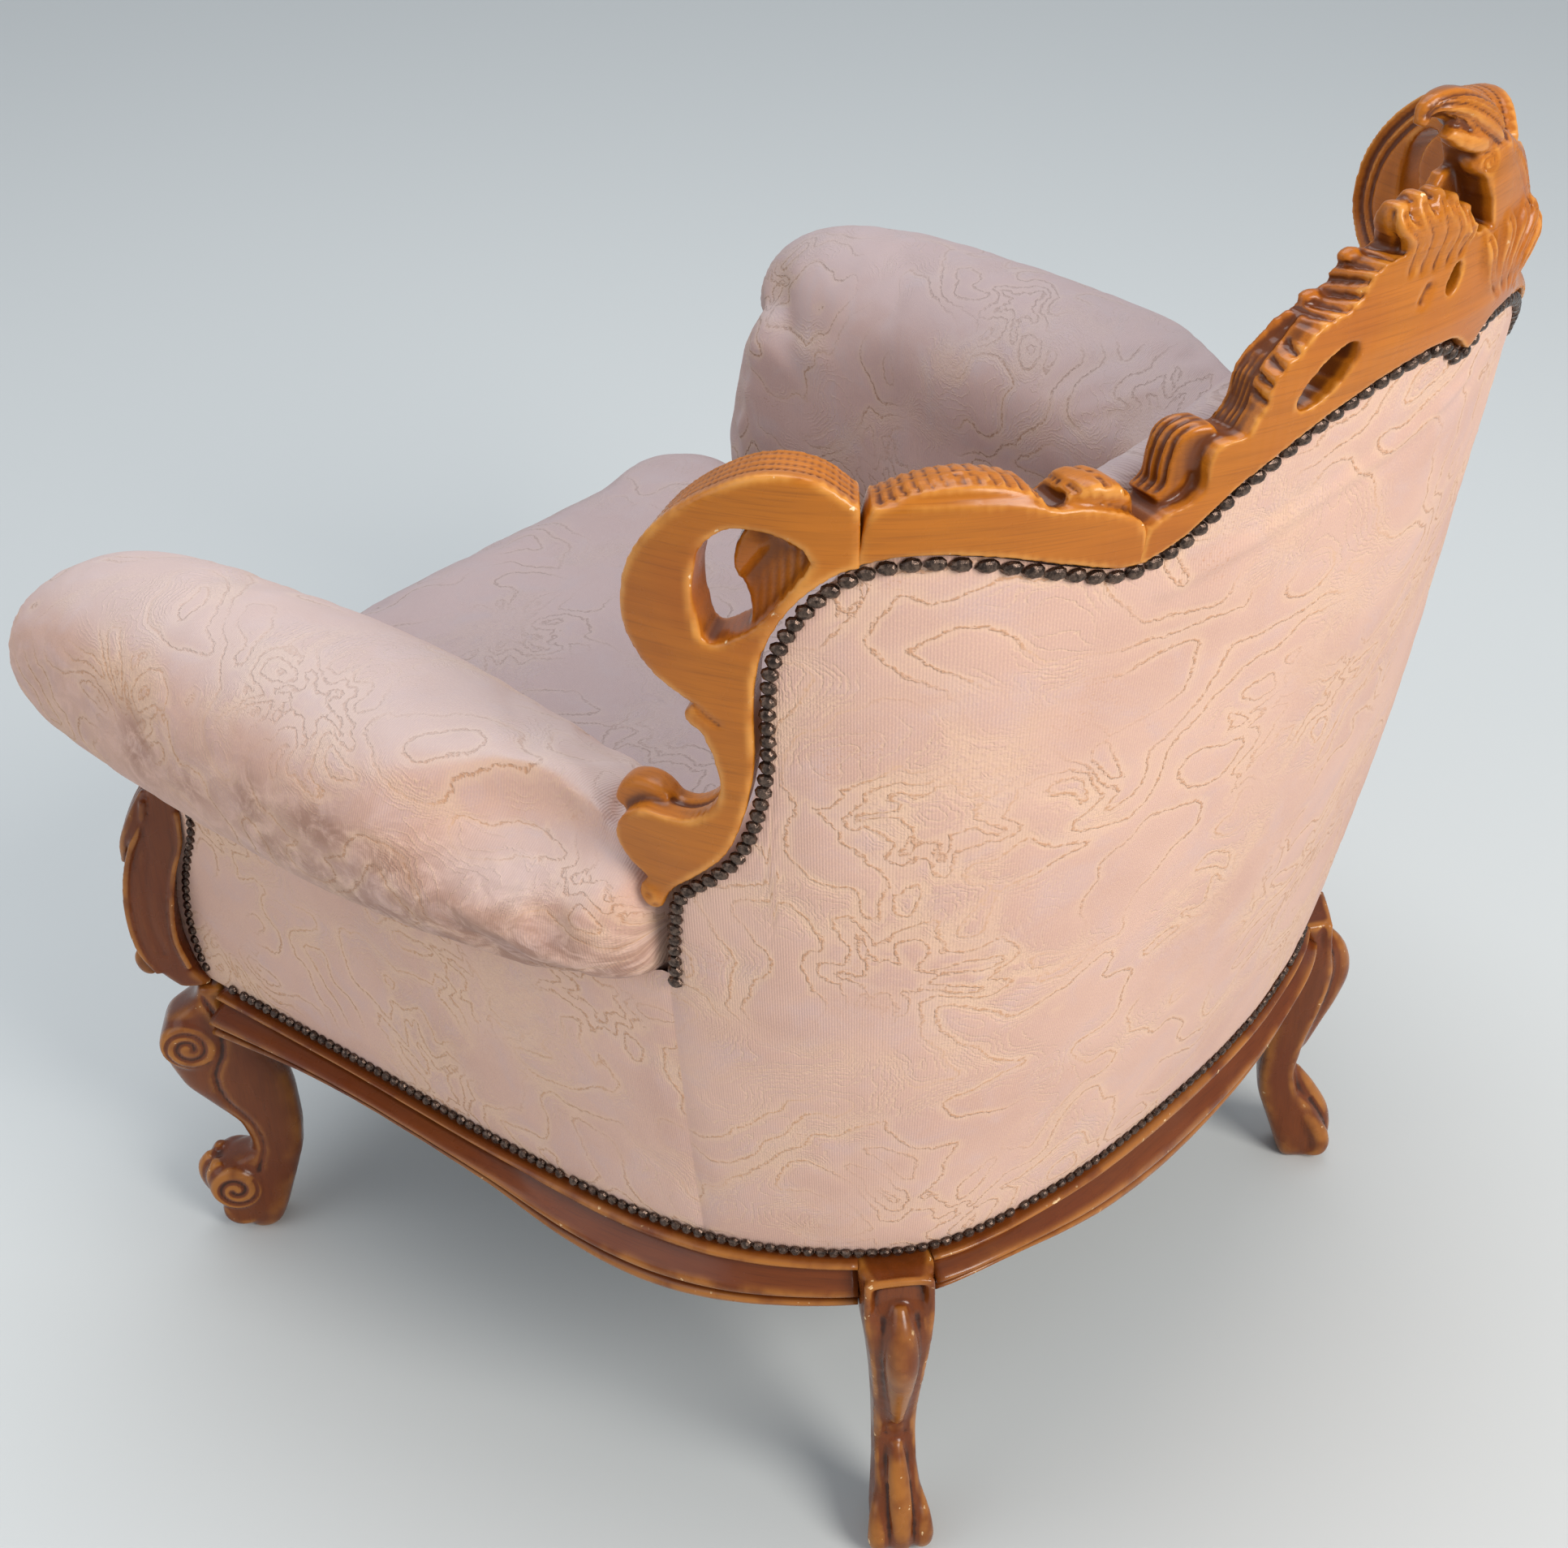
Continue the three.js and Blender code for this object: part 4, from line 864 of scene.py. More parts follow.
def carved_leg(name, parts, lines, corner, side, voxel=2.05, depth=2.6, wide=2.0):
    """A leg or post as one skin, its lines cut in, its foot flat, mirrored on the right side."""
    base, along = corner(side)
    verts, quads = fused(parts, voxel, 3)
    if lines:
        verts = carve(verts, quads, lines, depth, wide)
        verts = relaxed(verts, quads, 1, 0.4)
    verts[:, 2] = np.maximum(verts[:, 2], 0)
    if side < 0:
        verts = verts * [1, -1, 1]
        quads = quads[:, ::-1]
    placed = stand(verts, base, along)
    quads = np.ascontiguousarray(quads)
    wooden_piece(name + "_wood", placed, quads, quads, 14, verts[:, [2, 0, 1]] * MM,
                 DARK, "dark_wood", name)


def front_leg_parts():
    """A cabriole leg: a knee with a volute, and a foot that rolls under into another."""
    outer = [(14, 268), (18, 256), (28, 247), (44, 236), (52, 215), (51, 189), (41, 162), (20, 138),
             (3, 119), (-4, 97), (-4, 84), (8, 78), (20, 76), (32, 70), (37, 58), (33, 44), (22, 30),
             (12, 10), (6, 0)]
    inner = [(-8, 268), (-10, 250), (-20, 225), (-34, 190), (-44, 165), (-47, 146), (-48, 108),
             (-45, 81), (-36, 52), (-27, 24), (-20, 6), (-12, 0)]
    wide = [(0, 15), (8, 20), (26, 23), (50, 22), (75, 18.5), (100, 16.5), (130, 17.5), (165, 20.5),
            (200, 23), (235, 22), (268, 18)]
    parts = [
        upright_body(outer, inner, wide, 0.62),
        drum((28, 212), 24, 26),
        drum((13, 52), 23, 25),
        drum((12, 24), 17, 22),
        tube([(32, 0, 74), (38, 0, 60), (33, 0, 42), (20, 0, 24)], [6, 9, 10, 8]),
        tube([(26, 11, 76), (31, 13, 60), (26, 13, 42), (14, 12, 22)], [5, 7.5, 8, 7]),
        tube([(26, -11, 76), (31, -13, 60), (26, -13, 42), (14, -12, 22)], [5, 7.5, 8, 7]),
    ]
    lines = []
    for w in (-25.5, 25.5):
        for centre, start, end, turns, angle in (
                ((28, 212), 23, 5, 1.9, -2.3), ((13, 52), 20, 4, 1.5, 2.6)):
            p = spiral(centre, start, end, turns, angle)
            lines.append(np.stack([p[:, 0], 0 * p[:, 0] + w, p[:, 1]], 1))
        ridge = spline([(8, 262), (-2, 238), (-2, 206), (8, 178), (4, 150), (-12, 122), (-18, 96),
                        (-12, 70)], 80)
        half = np.interp(ridge[:, 1], [70, 100, 130, 165, 200, 262], [19, 16.5, 17.5, 20, 22.5, 19])
        lines.append(np.stack([ridge[:, 0] + 3.5, np.sign(w) * (half + 0.5), ridge[:, 1]], 1))
    return parts, lines


def rear_leg_parts():
    """A leg that leans back to three toes, with a long leaf down its face."""
    outer = [(20, 268), (21, 250), (31, 232), (34, 214), (31, 190), (25, 160), (17, 124), (13, 96),
             (17, 74), (30, 60), (40, 44), (45, 26), (42, 8), (34, 0)]
    inner = [(-24, 268), (-22, 240), (-18, 214), (-16, 186), (-15, 150), (-17, 120), (-18, 92),
             (-15, 66), (-6, 40), (2, 16), (8, 0)]
    wide = [(0, 15), (8, 20), (26, 20), (46, 18), (66, 16), (92, 15.5), (124, 16.5), (160, 18.5),
            (196, 22), (226, 26), (268, 27)]
    toe = lambda w, top, grow: tube(
        [(14, w * 0.5, top), (28, w * 0.8, top * 0.72), (40, w, top * 0.42), (40, w, 12), (28, w * 0.8, 7)],
        [5 * grow, 8.5 * grow, 10 * grow, 9.5 * grow, 7 * grow])
    parts = [
        upright_body(outer, inner, wide, 0.5),
        toe(0, 92, 1.0), toe(16, 62, 0.86), toe(-16, 62, 0.86),
        tube([(24, 0, 246), (33, 0, 226), (37, 0, 205), (33, 0, 180), (25, 0, 150), (16, 0, 118)],
             [5, 11, 12.5, 11, 8, 5]),
    ]
    for w in (-1, 1):
        parts.append(tube([(22, 22 * w, 266), (24, 22 * w, 236), (27, 19 * w, 210), (22, 15.5 * w, 170),
                           (12, 13.5 * w, 130), (8, 13 * w, 96), (14, 13 * w, 72)],
                          [3.4, 3.6, 3.8, 3.6, 3.2, 3, 3]))
    parts.append(tube([(22, -22, 265), (22, 0, 266), (22, 22, 265)], 3.4))
    lines = []
    for w in (-1, 1):
        shift = 12.5 * w
        lines.append(spline([(27, shift, 252), (30, shift * 1.05, 226), (30, shift, 204),
                             (24, shift * 0.85, 170), (15, shift * 0.72, 130),
                             (12, shift * 0.6, 100)], 60))
        lines.append(spline([(30, 8.4 * w, 62), (42, 8.6 * w, 40), (46, 8.6 * w, 20), (40, 8 * w, 4)], 40))
    return parts, lines


def post_parts():
    """The carved arm post: a bowed stem with beaded edges and a leaf at its head."""
    outer = [(22, 510), (24, 470), (23, 454), (27, 436), (38, 414), (49, 388), (54, 360), (55, 333),
             (50, 306), (45, 290), (34, 276), (28, 269.5)]
    inner = [(-4, 510), (-2, 470), (0, 443), (1, 418), (9, 395), (16, 369), (20, 340), (20, 310),
             (13, 286), (4, 272), (2, 269.5)]
    wide = [(269, 15), (280, 16.5), (300, 18), (340, 19), (380, 18.5), (410, 17.5), (440, 16.5),
            (470, 16), (510, 14)]
    parts = [upright_body(outer, inner, wide, 0.42, rows=90)]
    for w in (-1, 1):
        parts.append(tube([(26, 15 * w, 452), (30, 15.5 * w, 432), (42, 17 * w, 408), (51, 18 * w, 375),
                           (54, 18.2 * w, 340), (50, 17.5 * w, 308), (40, 16 * w, 286)], 2.7))
        parts.append(tube([(2, 16 * w, 440), (4, 17 * w, 412), (12, 18 * w, 388), (19, 19 * w, 355),
                           (21, 19 * w, 320), (15, 17.5 * w, 290)], 2.5))
    parts.append(tube([(52, 0, 300), (55, 0, 290), (50, 0, 281), (43, 0, 284)], [4, 6.5, 7, 4]))
    for w in (-8, 0, 8):
        parts.append(tube([(24, w, 456), (30, w * 1.1, 444), (38, w * 1.2, 428), (47, w * 0.9, 408),
                           (52, w * 0.4, 388)], [4, 5.5, 6, 5, 2.5]))
    lines = []
    for w in (-1, 1):
        lines.append(spline([(30, 18.6 * w, 432), (30, 19 * w, 404), (36, 20 * w, 372), (38, 20 * w, 338),
                             (33, 19 * w, 306)], 50))
    return parts, lines


for side, word in ((1, "left"), (-1, "right")):
    carved_leg("front_leg_" + word, *front_leg_parts(), front_corner, side)
    carved_leg("rear_leg_" + word, *rear_leg_parts(), rear_corner, side)
    carved_leg("arm_post_" + word, *post_parts(), front_corner, side, 1.5, 1.4, 3.2)

# ------------------------------------------------------------------ carved top frame

# The top frame is shaped flat, in s, z and out, and bent onto the tub at the end.

WOOD_IN, WOOD_OUT = -27, 5         # thinner than the plain CAD frame, as the photo shows
WOOD_SHIFT = 6.5
# s where the scroll meets the shoulder, where that meets the crest, and at the scroll's foot.
JOINT_S, CREST_S, SCROLL_END_S = 297, 186, 393
GAP = -3.5                         # the rails run a little way into each other


def beside_nails(start_s, end_s, shift, count):
    """Points beside the nail line of the +s half, from start_s to end_s, moved towards the wood."""
    t = directions(NAIL_HALF)
    i, j = (np.searchsorted(NAIL_HALF[:, 0], v) for v in (start_s, end_s))
    pick = np.linspace(i, min(j, len(NAIL_HALF) - 1), count).astype(int)
    at, way = NAIL_HALF[pick], t[pick]
    return np.stack([at[:, 0] - way[:, 1] * shift, at[:, 1] + way[:, 0] * shift], 1)


def run_through(*sections):
    """One outline from smooth sections that meet in corners."""
    made = []
    for points in sections:
        points = np.asarray(points, float)
        length = np.linalg.norm(np.diff(points, axis=0), axis=1).sum()
        made.append(spline(points, max(3, int(length / 2.6)))[:-1])
    return np.vstack(made)


def on_bar(path, half, inner, outer, turn, start=0.0, end=1.0, steps=60):
    """A line on the skin of bar(path, ...), at an angle round it."""
    run, side = bar_run(path, half, inner, outer, steps)
    across, deep = bar_section(turn)
    at = run[:, :2] + side * (across * run[:, 2:3])
    out = run[:, 3] + (run[:, 4] - run[:, 3]) * deep
    line = np.column_stack([at, out])
    return line[int(start * (steps - 1)):int(end * (steps - 1)) + 1]


def round_bar(path, half, inner, outer, at, slant=0.0, steps=60, low=0.35, high=2.8):
    """A line across the top of a bar at a share of its length, from its outer face to its back."""
    turns = np.linspace(low, high, 16)
    lines = [on_bar(path, half, inner, outer, a, steps=steps) for a in turns]
    picks = [min(max(int((at + slant * i / 15) * (steps - 1)), 0), steps - 1) for i in range(16)]
    return np.array([line[p] for line, p in zip(lines, picks)])


def along_edge(section, depths, meet=None, start=0.0, end=1.0):
    """Lines that run along a stretch of the top edge at several depths, and may meet at its end."""
    run = spline(section, 60)[int(60 * start):int(60 * end)]
    t = np.linspace(0, 1, len(run))
    lines = []
    for depth in depths:
        out = np.full(len(run), float(depth)) if meet is None else depth + (meet - depth) * t**1.6
        lines.append(np.column_stack([run, out]))
    return lines


def across_edge(section, places, near, far, slant=0.0):
    """Short lines square to a stretch of the top edge, from one depth to another."""
    run, lines = spline(section, 101), []
    for share in places:
        t = np.linspace(0, 1, 14)
        at = run[np.clip(((share + slant * t) * 100).astype(int), 0, 100)]
        lines.append(np.column_stack([at, near + (far - near) * t]))
    return lines


def carved_panel(name, node, parts, cuts, side=1, voxel=1.9, stained=0.14):
    """A piece of the top frame, cut with [(lines, depth, width)] and stained towards its front."""
    verts, quads = fused(parts, voxel, 2)
    for lines, depth, wide in cuts:
        verts = carve(verts, quads, lines, depth, wide)
    verts = relaxed(verts, quads, 1, 0.35)
    if side < 0:
        verts = verts * [-1, 1, 1]
    else:
        quads = quads[:, ::-1]         # s, z and out make a left-handed frame
    quads = np.ascontiguousarray(quads)
    placed = tub(*verts.T)
    stain = stained * smooth_step(-verts[:, 2], -1.5, 4)
    wooden_piece(name, placed, quads, quads, 8, verts * MM, HONEY, "honey_wood", node, stain)


SCROLL_HOLE = [
    (369, 806), (356, 813), (346, 822), (335, 838), (324, 856), (319, 867), (326, 877),
    (342, 883), (358, 881), (370, 868), (375, 845), (374, 822),
]
ROLLED_KNOB = [(399, 668), (410, 675), (424, 671), (432, 658)], [5, 8, 9, 8], -31, -9


def scroll_parts():
    """The pierced side scroll: a C with a cup inside it, a neck, a volute and a drop."""
    low = beside_nails(JOINT_S, SCROLL_END_S, WOOD_SHIFT, 70)[::-1]
    c_outer = [(297.5, 901), (316, 916), (340, 917), (369, 901), (395, 872), (410, 840), (412, 805),
               (398, 778), (377, 762)]
    knob = [(377, 762), (382, 757), (382, 750), (375, 744)]
    neck = [(375, 744), (369, 724), (367.5, 702), (374, 685), (386, 675), (398, 673), (412, 672),
            (425, 661), (430, 646), (423, 630), (411, 620)]
    drop = [(411, 620), (415, 613), (416, 606), (412, 599), (407, 598), (403, 604)]
    outline = np.vstack([run_through(c_outer, knob, neck, drop), low[:-1], [[297.5, low[-1][1]]]])
    hole = spline(SCROLL_HOLE, 70, True)
    edge = spline([(360, 806), (346, 819), (334, 836), (322, 856), (317, 868), (325, 880)], 50)

    def cup_face(p):
        away = np.min(np.linalg.norm(p[:, None] - edge[None], axis=2), axis=1)
        return -1 - 15 * np.sin(np.pi / 2 * np.clip(away / 17, 0, 1)) + 6 * smooth_step(away, 17, 26)

    cup = [(314, 868), (322, 881), (335, 885), (347, 879), (356, 864), (357, 847), (350, 829),
           (348, 814), (352, 803), (340, 812), (328, 832), (318, 854)]
    volute = [(396, 656), (404, 661), (413, 659), (418, 650)]
    parts = [
        slab(outline, [hole], WOOD_IN, WOOD_OUT),
        slab(spline(cup, 60, True), [], -30, cup_face, 3.0),
        bar(*ROLLED_KNOB, steps=40),
        bar(volute, [10, 12, 12, 10], -30, -9, steps=30),
        ball((410, 606, 2), (8, 11, 6)),
    ]
    bands = []
    for inset in (7, 14):
        ring = spline(c_outer, 90)
        t = directions(ring)
        inner_ring = ring + np.stack([t[:, 1], -t[:, 0]], 1) * inset
        bands.append(np.column_stack([inner_ring, np.full(90, WOOD_IN)]))
    flutes = along_edge(c_outer[:8], (-5, -11, -17, -23), None, 0.03, 0.95)
    rim = [np.column_stack([run_through(neck)[14:44], np.full(30, -13)])]
    rolled = [on_bar(*ROLLED_KNOB, a, 0.05, 0.95, 40) for a in (-1.1, -1.9)]
    leaf = [np.array([(414, 616, 7), (411, 608, 8), (407, 600, 7)])]
    split = [np.column_stack([spline([(377, 762), (372, 757), (366, 752)], 12), np.full(12, o)])
             for o in (5, -8, -20)]
    lip = [np.column_stack([edge, np.full(50, 1.5)])]
    return parts, [(flutes, 1.7, 1.5), (rim + rolled, 3.0, 2.4), (leaf + split, 1.8, 1.6),
                   (lip, 1.0, 2.0), (bands, 4.0, 3.0)]


def shoulder_parts():
    """The shoulder between scroll and crest: a ribbed leaf and a twisted curl."""
    low = beside_nails(CREST_S, JOINT_S, WOOD_SHIFT, 50)[::-1]
    low[0] = (JOINT_S - GAP, low[0][1])
    low[-1] = (CREST_S + GAP, low[-1][1])
    top = run_through([(186.5, 872), (193, 879), (203, 885), (213, 889), (225, 891)],
                      [(225, 891), (240, 898), (256, 901), (276, 902), (296.5, 900)])
    outline = np.vstack([low, top])
    leaf = [(226, 888), (238, 897), (256, 902), (274, 901), (293, 895)], [3, 8, 10, 8, 4], -31, 2
    curl = ([(190, 876), (197, 889), (207, 895), (216, 892), (221, 882)], [4, 6, 7, 6, 4], -31,
            [-6, 0, 2, 0, -6])
    parts = [
        slab(outline, [], WOOD_IN, WOOD_OUT - 0.3),
        bar(*leaf),
        bar(*curl, steps=30),
    ]
    flutes = [on_bar(*leaf, a, 0.05, 0.95) for a in (-1.1, -1.6, -2.15)]
    ribs = [round_bar(*leaf, t, 0.03, low=0.6, high=-0.75) for t in np.linspace(0.1, 0.93, 13)]
    twist = [round_bar(*curl, t, 0.1, steps=30, low=0.8, high=-2.4) for t in (0.32, 0.52, 0.7)]
    well = [np.array([(223 - 0.2 * o, 893, o) for o in range(-24, -6, 3)])]
    return parts, [(flutes, 2.2, 1.7), (ribs, 2.0, 1.4), (twist, 2.2, 1.8), (well, 7.0, 6.0)]


for side, word in ((1, "left"), (-1, "right")):
    carved_panel("side_scroll_carved_" + word, "side_scroll_" + word, *scroll_parts(), side)
    carved_panel("shoulder_carved_" + word, "shoulder_rail_" + word, *shoulder_parts(), side)

LEFT_FACE = [
    [(185.5, 870), (176, 877), (165, 881), (159, 888), (159, 905), (155, 914), (148, 916)],
    [(148, 916), (141, 916)],
    [(141, 917), (136, 929), (132, 950), (119, 965), (108, 976)],
    [(108, 976), (98, 979), (92, 984), (86, 996), (77, 1001)],
    [(77, 1001), (68, 1003), (60, 1006), (46, 1008), (30, 1006), (14, 999)],
]
RIGHT_FACE = [
    [(14, 999), (-14, 990), (-50, 976), (-80, 960), (-94, 955), (-101, 960)],
    [(-101, 960), (-108, 960), (-119, 951), (-130, 938), (-136, 924), (-141, 914)],
    [(-141, 914), (-148, 914)],
    [(-148, 914), (-155, 912), (-159, 903), (-159, 888), (-165, 881), (-176, 877), (-185.5, 870)],
]
RIGHT_SHELL = [
    (20, 1046), (12, 1051), (-2, 1050), (-20, 1043), (-38, 1030), (-56, 1011), (-70, 990),
    (-83, 968), (-76, 950), (-44, 946), (-10, 962), (4, 982), (1, 998), (5, 1014), (13, 1030),
]
TOP_LEAF = ([(56, 1066), (50, 1074), (36, 1073), (19, 1063), (2, 1051), (-13, 1040)],
            [3, 6, 9, 11, 10, 5], [-12, -15, -19, -22, -23, -21], [-6, -2, 2, 4, 3, -2])
FAN_DEPTH = [-24, -20, -12, -8]
# Each lobe of a fan: where it starts, its tip and its half width.
LEFT_FAN = [((64, 984), (71, 1031), 5.5), ((57, 982), (60, 1034), 6.5), ((49, 982), (48, 1033), 7),
            ((40, 983), (37, 1027), 6.5), ((31, 986), (25, 1018), 5.5)]
RIGHT_FAN = [((-24, 944), (8, 999), 6), ((-30, 944), (-12, 1004), 6.5), ((-36, 942), (-32, 1004), 6.5),
             ((-42, 940), (-50, 997), 6), ((-48, 938), (-66, 984), 5.5)]


def ellipse(s, z, a, b, turn, count=30):
    t = np.arange(count) / count * 2 * np.pi
    return np.stack([s + a * np.cos(t) * math.cos(turn) - b * np.sin(t) * math.sin(turn),
                     z + a * np.cos(t) * math.sin(turn) + b * np.sin(t) * math.cos(turn)], 1)


def fan_lobes(lobes, bow, tuck, ends, narrow, inner, high, turns):
    """The lobes of a fan as bars, and the grooves along each one at the turns asked for."""
    bars, grooves = [], []
    for start, tip, size in lobes:
        middle = ((start[0] + tip[0]) / 2 + bow[0], (start[1] + tip[1]) / 2 + bow[1])
        lobe = ([start, middle, (tip[0] + tuck, tip[1] - 10), tip], [2, size, size * narrow, 3], inner,
                [ends[0], *high, ends[1]])
        bars.append(bar(*lobe, steps=36))
        grooves += [on_bar(*lobe, turn, 0.12, 0.9, 36) for turn in turns]
    return bars, grooves


def crest_front(p):
    """How deep the crest reaches towards the sitter: less at its thin, rounded top."""
    s, z = np.abs(p[:, 0]), p[:, 1]
    deep = np.interp(s, [60, 110, 150, 186], [-23, -25, -27, -28])
    return deep + 4 * smooth_step(z, 960, 1010)


def crest_back(p):
    """The flat face, falling away on the far side and above."""
    above = p[:, 1] - np.array([nail_height(s) for s in p[:, 0]])
    away = smooth_step(-p[:, 0], 30, 100) * smooth_step(above, 8, 34)
    return 5 - 18 * away


def crest_parts():
    """The crest: leaves climbing to a shell on the right, two fans of lobes and three holes."""
    half_low = beside_nails(0, CREST_S, WOOD_SHIFT, 90)
    half_low[-1] = (CREST_S - GAP, half_low[-1][1])
    mirror_low = half_low[1:][::-1] * [-1, 1]
    outline = np.vstack([mirror_low, half_low, run_through(*LEFT_FACE, *RIGHT_FACE)])
    holes = [ellipse(103, 942, 21, 9, -0.9), ellipse(-103, 938, 20, 8.5, 0.9),
             ellipse(30, 977, 9.5, 4.6, 1.9)]
    shell_face = lambda p: np.interp(np.min(np.linalg.norm(
        p[:, None] - spline(RIGHT_SHELL[:9], 60)[None], axis=2), axis=1), [0, 6, 26], [-6, 2, 5])
    parts = [
        slab(outline, holes, crest_front, crest_back, 4.0),
        slab(RIGHT_SHELL, [], -24, shell_face, 4.0),
        slab([(34, 998), (30, 1014), (22, 1028), (12, 1030), (2, 1014), (0, 992), (18, 985)],
             [], -25, -17),
        bar(*TOP_LEAF),
        bar([(4, 1048), (18, 1049), (32, 1054), (42, 1060)], [5, 6, 5, 3], [-17, -15, -12, -9],
            [1, 4, 4, 0], steps=40),
        ball((11, 1036, -6), (8, 8, 9)),
    ]
    long_cuts, cross_cuts, fine_cuts = [], [], []
    for k in (1, -1):
        parts.append(bar([(k * a, b) for a, b in ((176, 880), (168, 888), (166, 902), (162, 915),
                                                  (150, 919))], [4, 7, 8, 8, 4], -30, -5, steps=40))
        leaf = [(k * a, b) for a, b in ((141, 917), (136, 929), (132, 950), (119, 965), (108, 976))]
        knob = [(k * a, b) for a, b in ((181, 884), (174, 890), (173, 903), (170, 918), (160, 925),
                                        (150, 925))]
        long_cuts += along_edge(knob, (-9, -15, -21, -27), None, 0.04, 0.94)
        long_cuts += along_edge(leaf, (-10, -14, -18, -22, -26), -16, 0.02, 0.99)
        cross_cuts += across_edge(leaf, (0.28, 0.42, 0.56, 0.7), 3, -8, 0.05)
    second = [(108, 976), (98, 979), (92, 984), (86, 996), (77, 1001)]
    third = [(77, 1001), (68, 1003), (60, 1006), (48, 1008)]
    cross_cuts += across_edge(second, (0.06, 0.26, 0.46, 0.66, 0.86), 4, -26, -0.16)
    cross_cuts += across_edge(third, (0.1, 0.3, 0.5, 0.7), 3, -22, -0.1)
    parts += [ball((98, 979, -20), (7, 5, 6)), ball((80, 999, -17), (7, 5, 6))]
    for made in (fan_lobes(LEFT_FAN, (-5, 0), 1, (3, 3), 0.9, FAN_DEPTH, (8, 9), (1.57, 0.75, 3.0)),
                 fan_lobes(RIGHT_FAN, (5, -4), -3, (2, 4), 1.0, -20, (8, 10), (1.57,))):
        parts += made[0]
        fine_cuts += made[1]
    for a in (0.3, 0.75, 1.2, 1.65, 2.1, 2.6):
        long_cuts.append(on_bar(*TOP_LEAF, a, 0.08, 0.97))
    spine = spline([(10, 1044), (-14, 1034), (-34, 1014), (-50, 990), (-60, 968)], 60)
    long_cuts.append(np.column_stack([spine, np.full(60, 5.0)]))
    rim = spline(RIGHT_SHELL[3:8], 101)
    inward = spline([(-14, 1036), (-30, 1022), (-46, 1003), (-60, 984), (-72, 964)], 101)
    for k in range(2, 99, 5):
        t = np.linspace(0, 1, 10)[:, None]
        at = rim[k] + (inward[k] - rim[k]) * np.clip(t * 2 - 1, 0, 1) * 0.75
        fine_cuts.append(np.column_stack([at, np.interp(t[:, 0], [0, 0.5, 1], [-22, 0, 3])]))
    eye = spiral((11, 1036), 7, 1.5, 1.5, 0.4, 50)
    fine_cuts.append(np.column_stack([eye, np.full(50, 2.5)]))
    dent = [np.array([(52 - i, 970 + 2 * i, 6) for i in range(5)])]
    return parts, [(long_cuts, 3.0, 1.9), (cross_cuts, 3.0, 1.8), (fine_cuts, 2.4, 1.4),
                   (dent, 3.0, 3.0)]


carved_panel("crest_carved", "crest_rail", *crest_parts(), 1, 1.65, 0.34)

# ------------------------------------------------------------------ upholstery nails and rosettes

_nail_rng = np.random.default_rng(31)


def nail_heads(name, node, points, radius, pitch, high=4.6, sides=9):
    """Separate domed heads along points in s and z, on the outside cover."""
    points = np.asarray(points, float)
    count = int(round(np.linalg.norm(np.diff(points, axis=0), axis=1).sum() / pitch)) + 1
    if len(points) < 200:
        at = spline(points, count)
    else:
        at = points[np.linspace(0, len(points) - 1, count).astype(int)]
    rings = [(1.0, 0.25), (1.0, 1.1), (0.86, 2.6), (0.55, 3.9), (0.2, high)]
    verts, faces = [], []
    for s, z in at:
        turn, tilt = _nail_rng.random() * 2 * np.pi, _nail_rng.normal(0, 0.05, 2)
        base = len(verts)
        a = np.arange(sides) / sides * 2 * np.pi + turn
        for share, out in rings:
            r = radius * share * (1 + _nail_rng.normal(0, 0.02, sides))
            lift = out + r * (np.cos(a) * tilt[0] + np.sin(a) * tilt[1])
            verts += [(s + x * np.cos(b), z + x * np.sin(b), h) for x, b, h in zip(r, a, lift)]
        faces += (grid_faces(len(rings), sides, True) + base).tolist()
        faces.append([base + 4 * sides + i for i in range(sides)])
        faces.append([base + i for i in range(sides)][::-1])
    verts = np.array(verts)
    obj = new_object(name, tub(verts[:, 0], verts[:, 1], verts[:, 2]), faces, smooth=False)
    return finish_piece(obj, BRONZE, "nail_bronze", node)


nail_heads("nails_top", "nail_row_top", NAIL_CURVE[4:-4], 4.6, 9.4, 4.4)
base_line = np.column_stack([np.linspace(-878, 878, 400), np.full(400, 276.5)])
nail_heads("nails_base", "nail_row_base", base_line, 4.3, 8.9, 3.9)
POST_EDGE_Z = [272, 290, 330, 370, 400, 430, 500]
POST_EDGE_S = [902, 916, 922, 917, 907, 896, 890]
BEHIND_POST = 14                  # how far the cover runs on behind the carved post
for side, word in ((1, "left"), (-1, "right")):
    z = np.linspace(286, 488, 30)
    nail_heads("nails_post_" + word, "nail_row_post_" + word,
               np.column_stack([side * (table(POST_EDGE_Z, POST_EDGE_S, z) - 6), z]), 3.8, 8.6, 3.6)


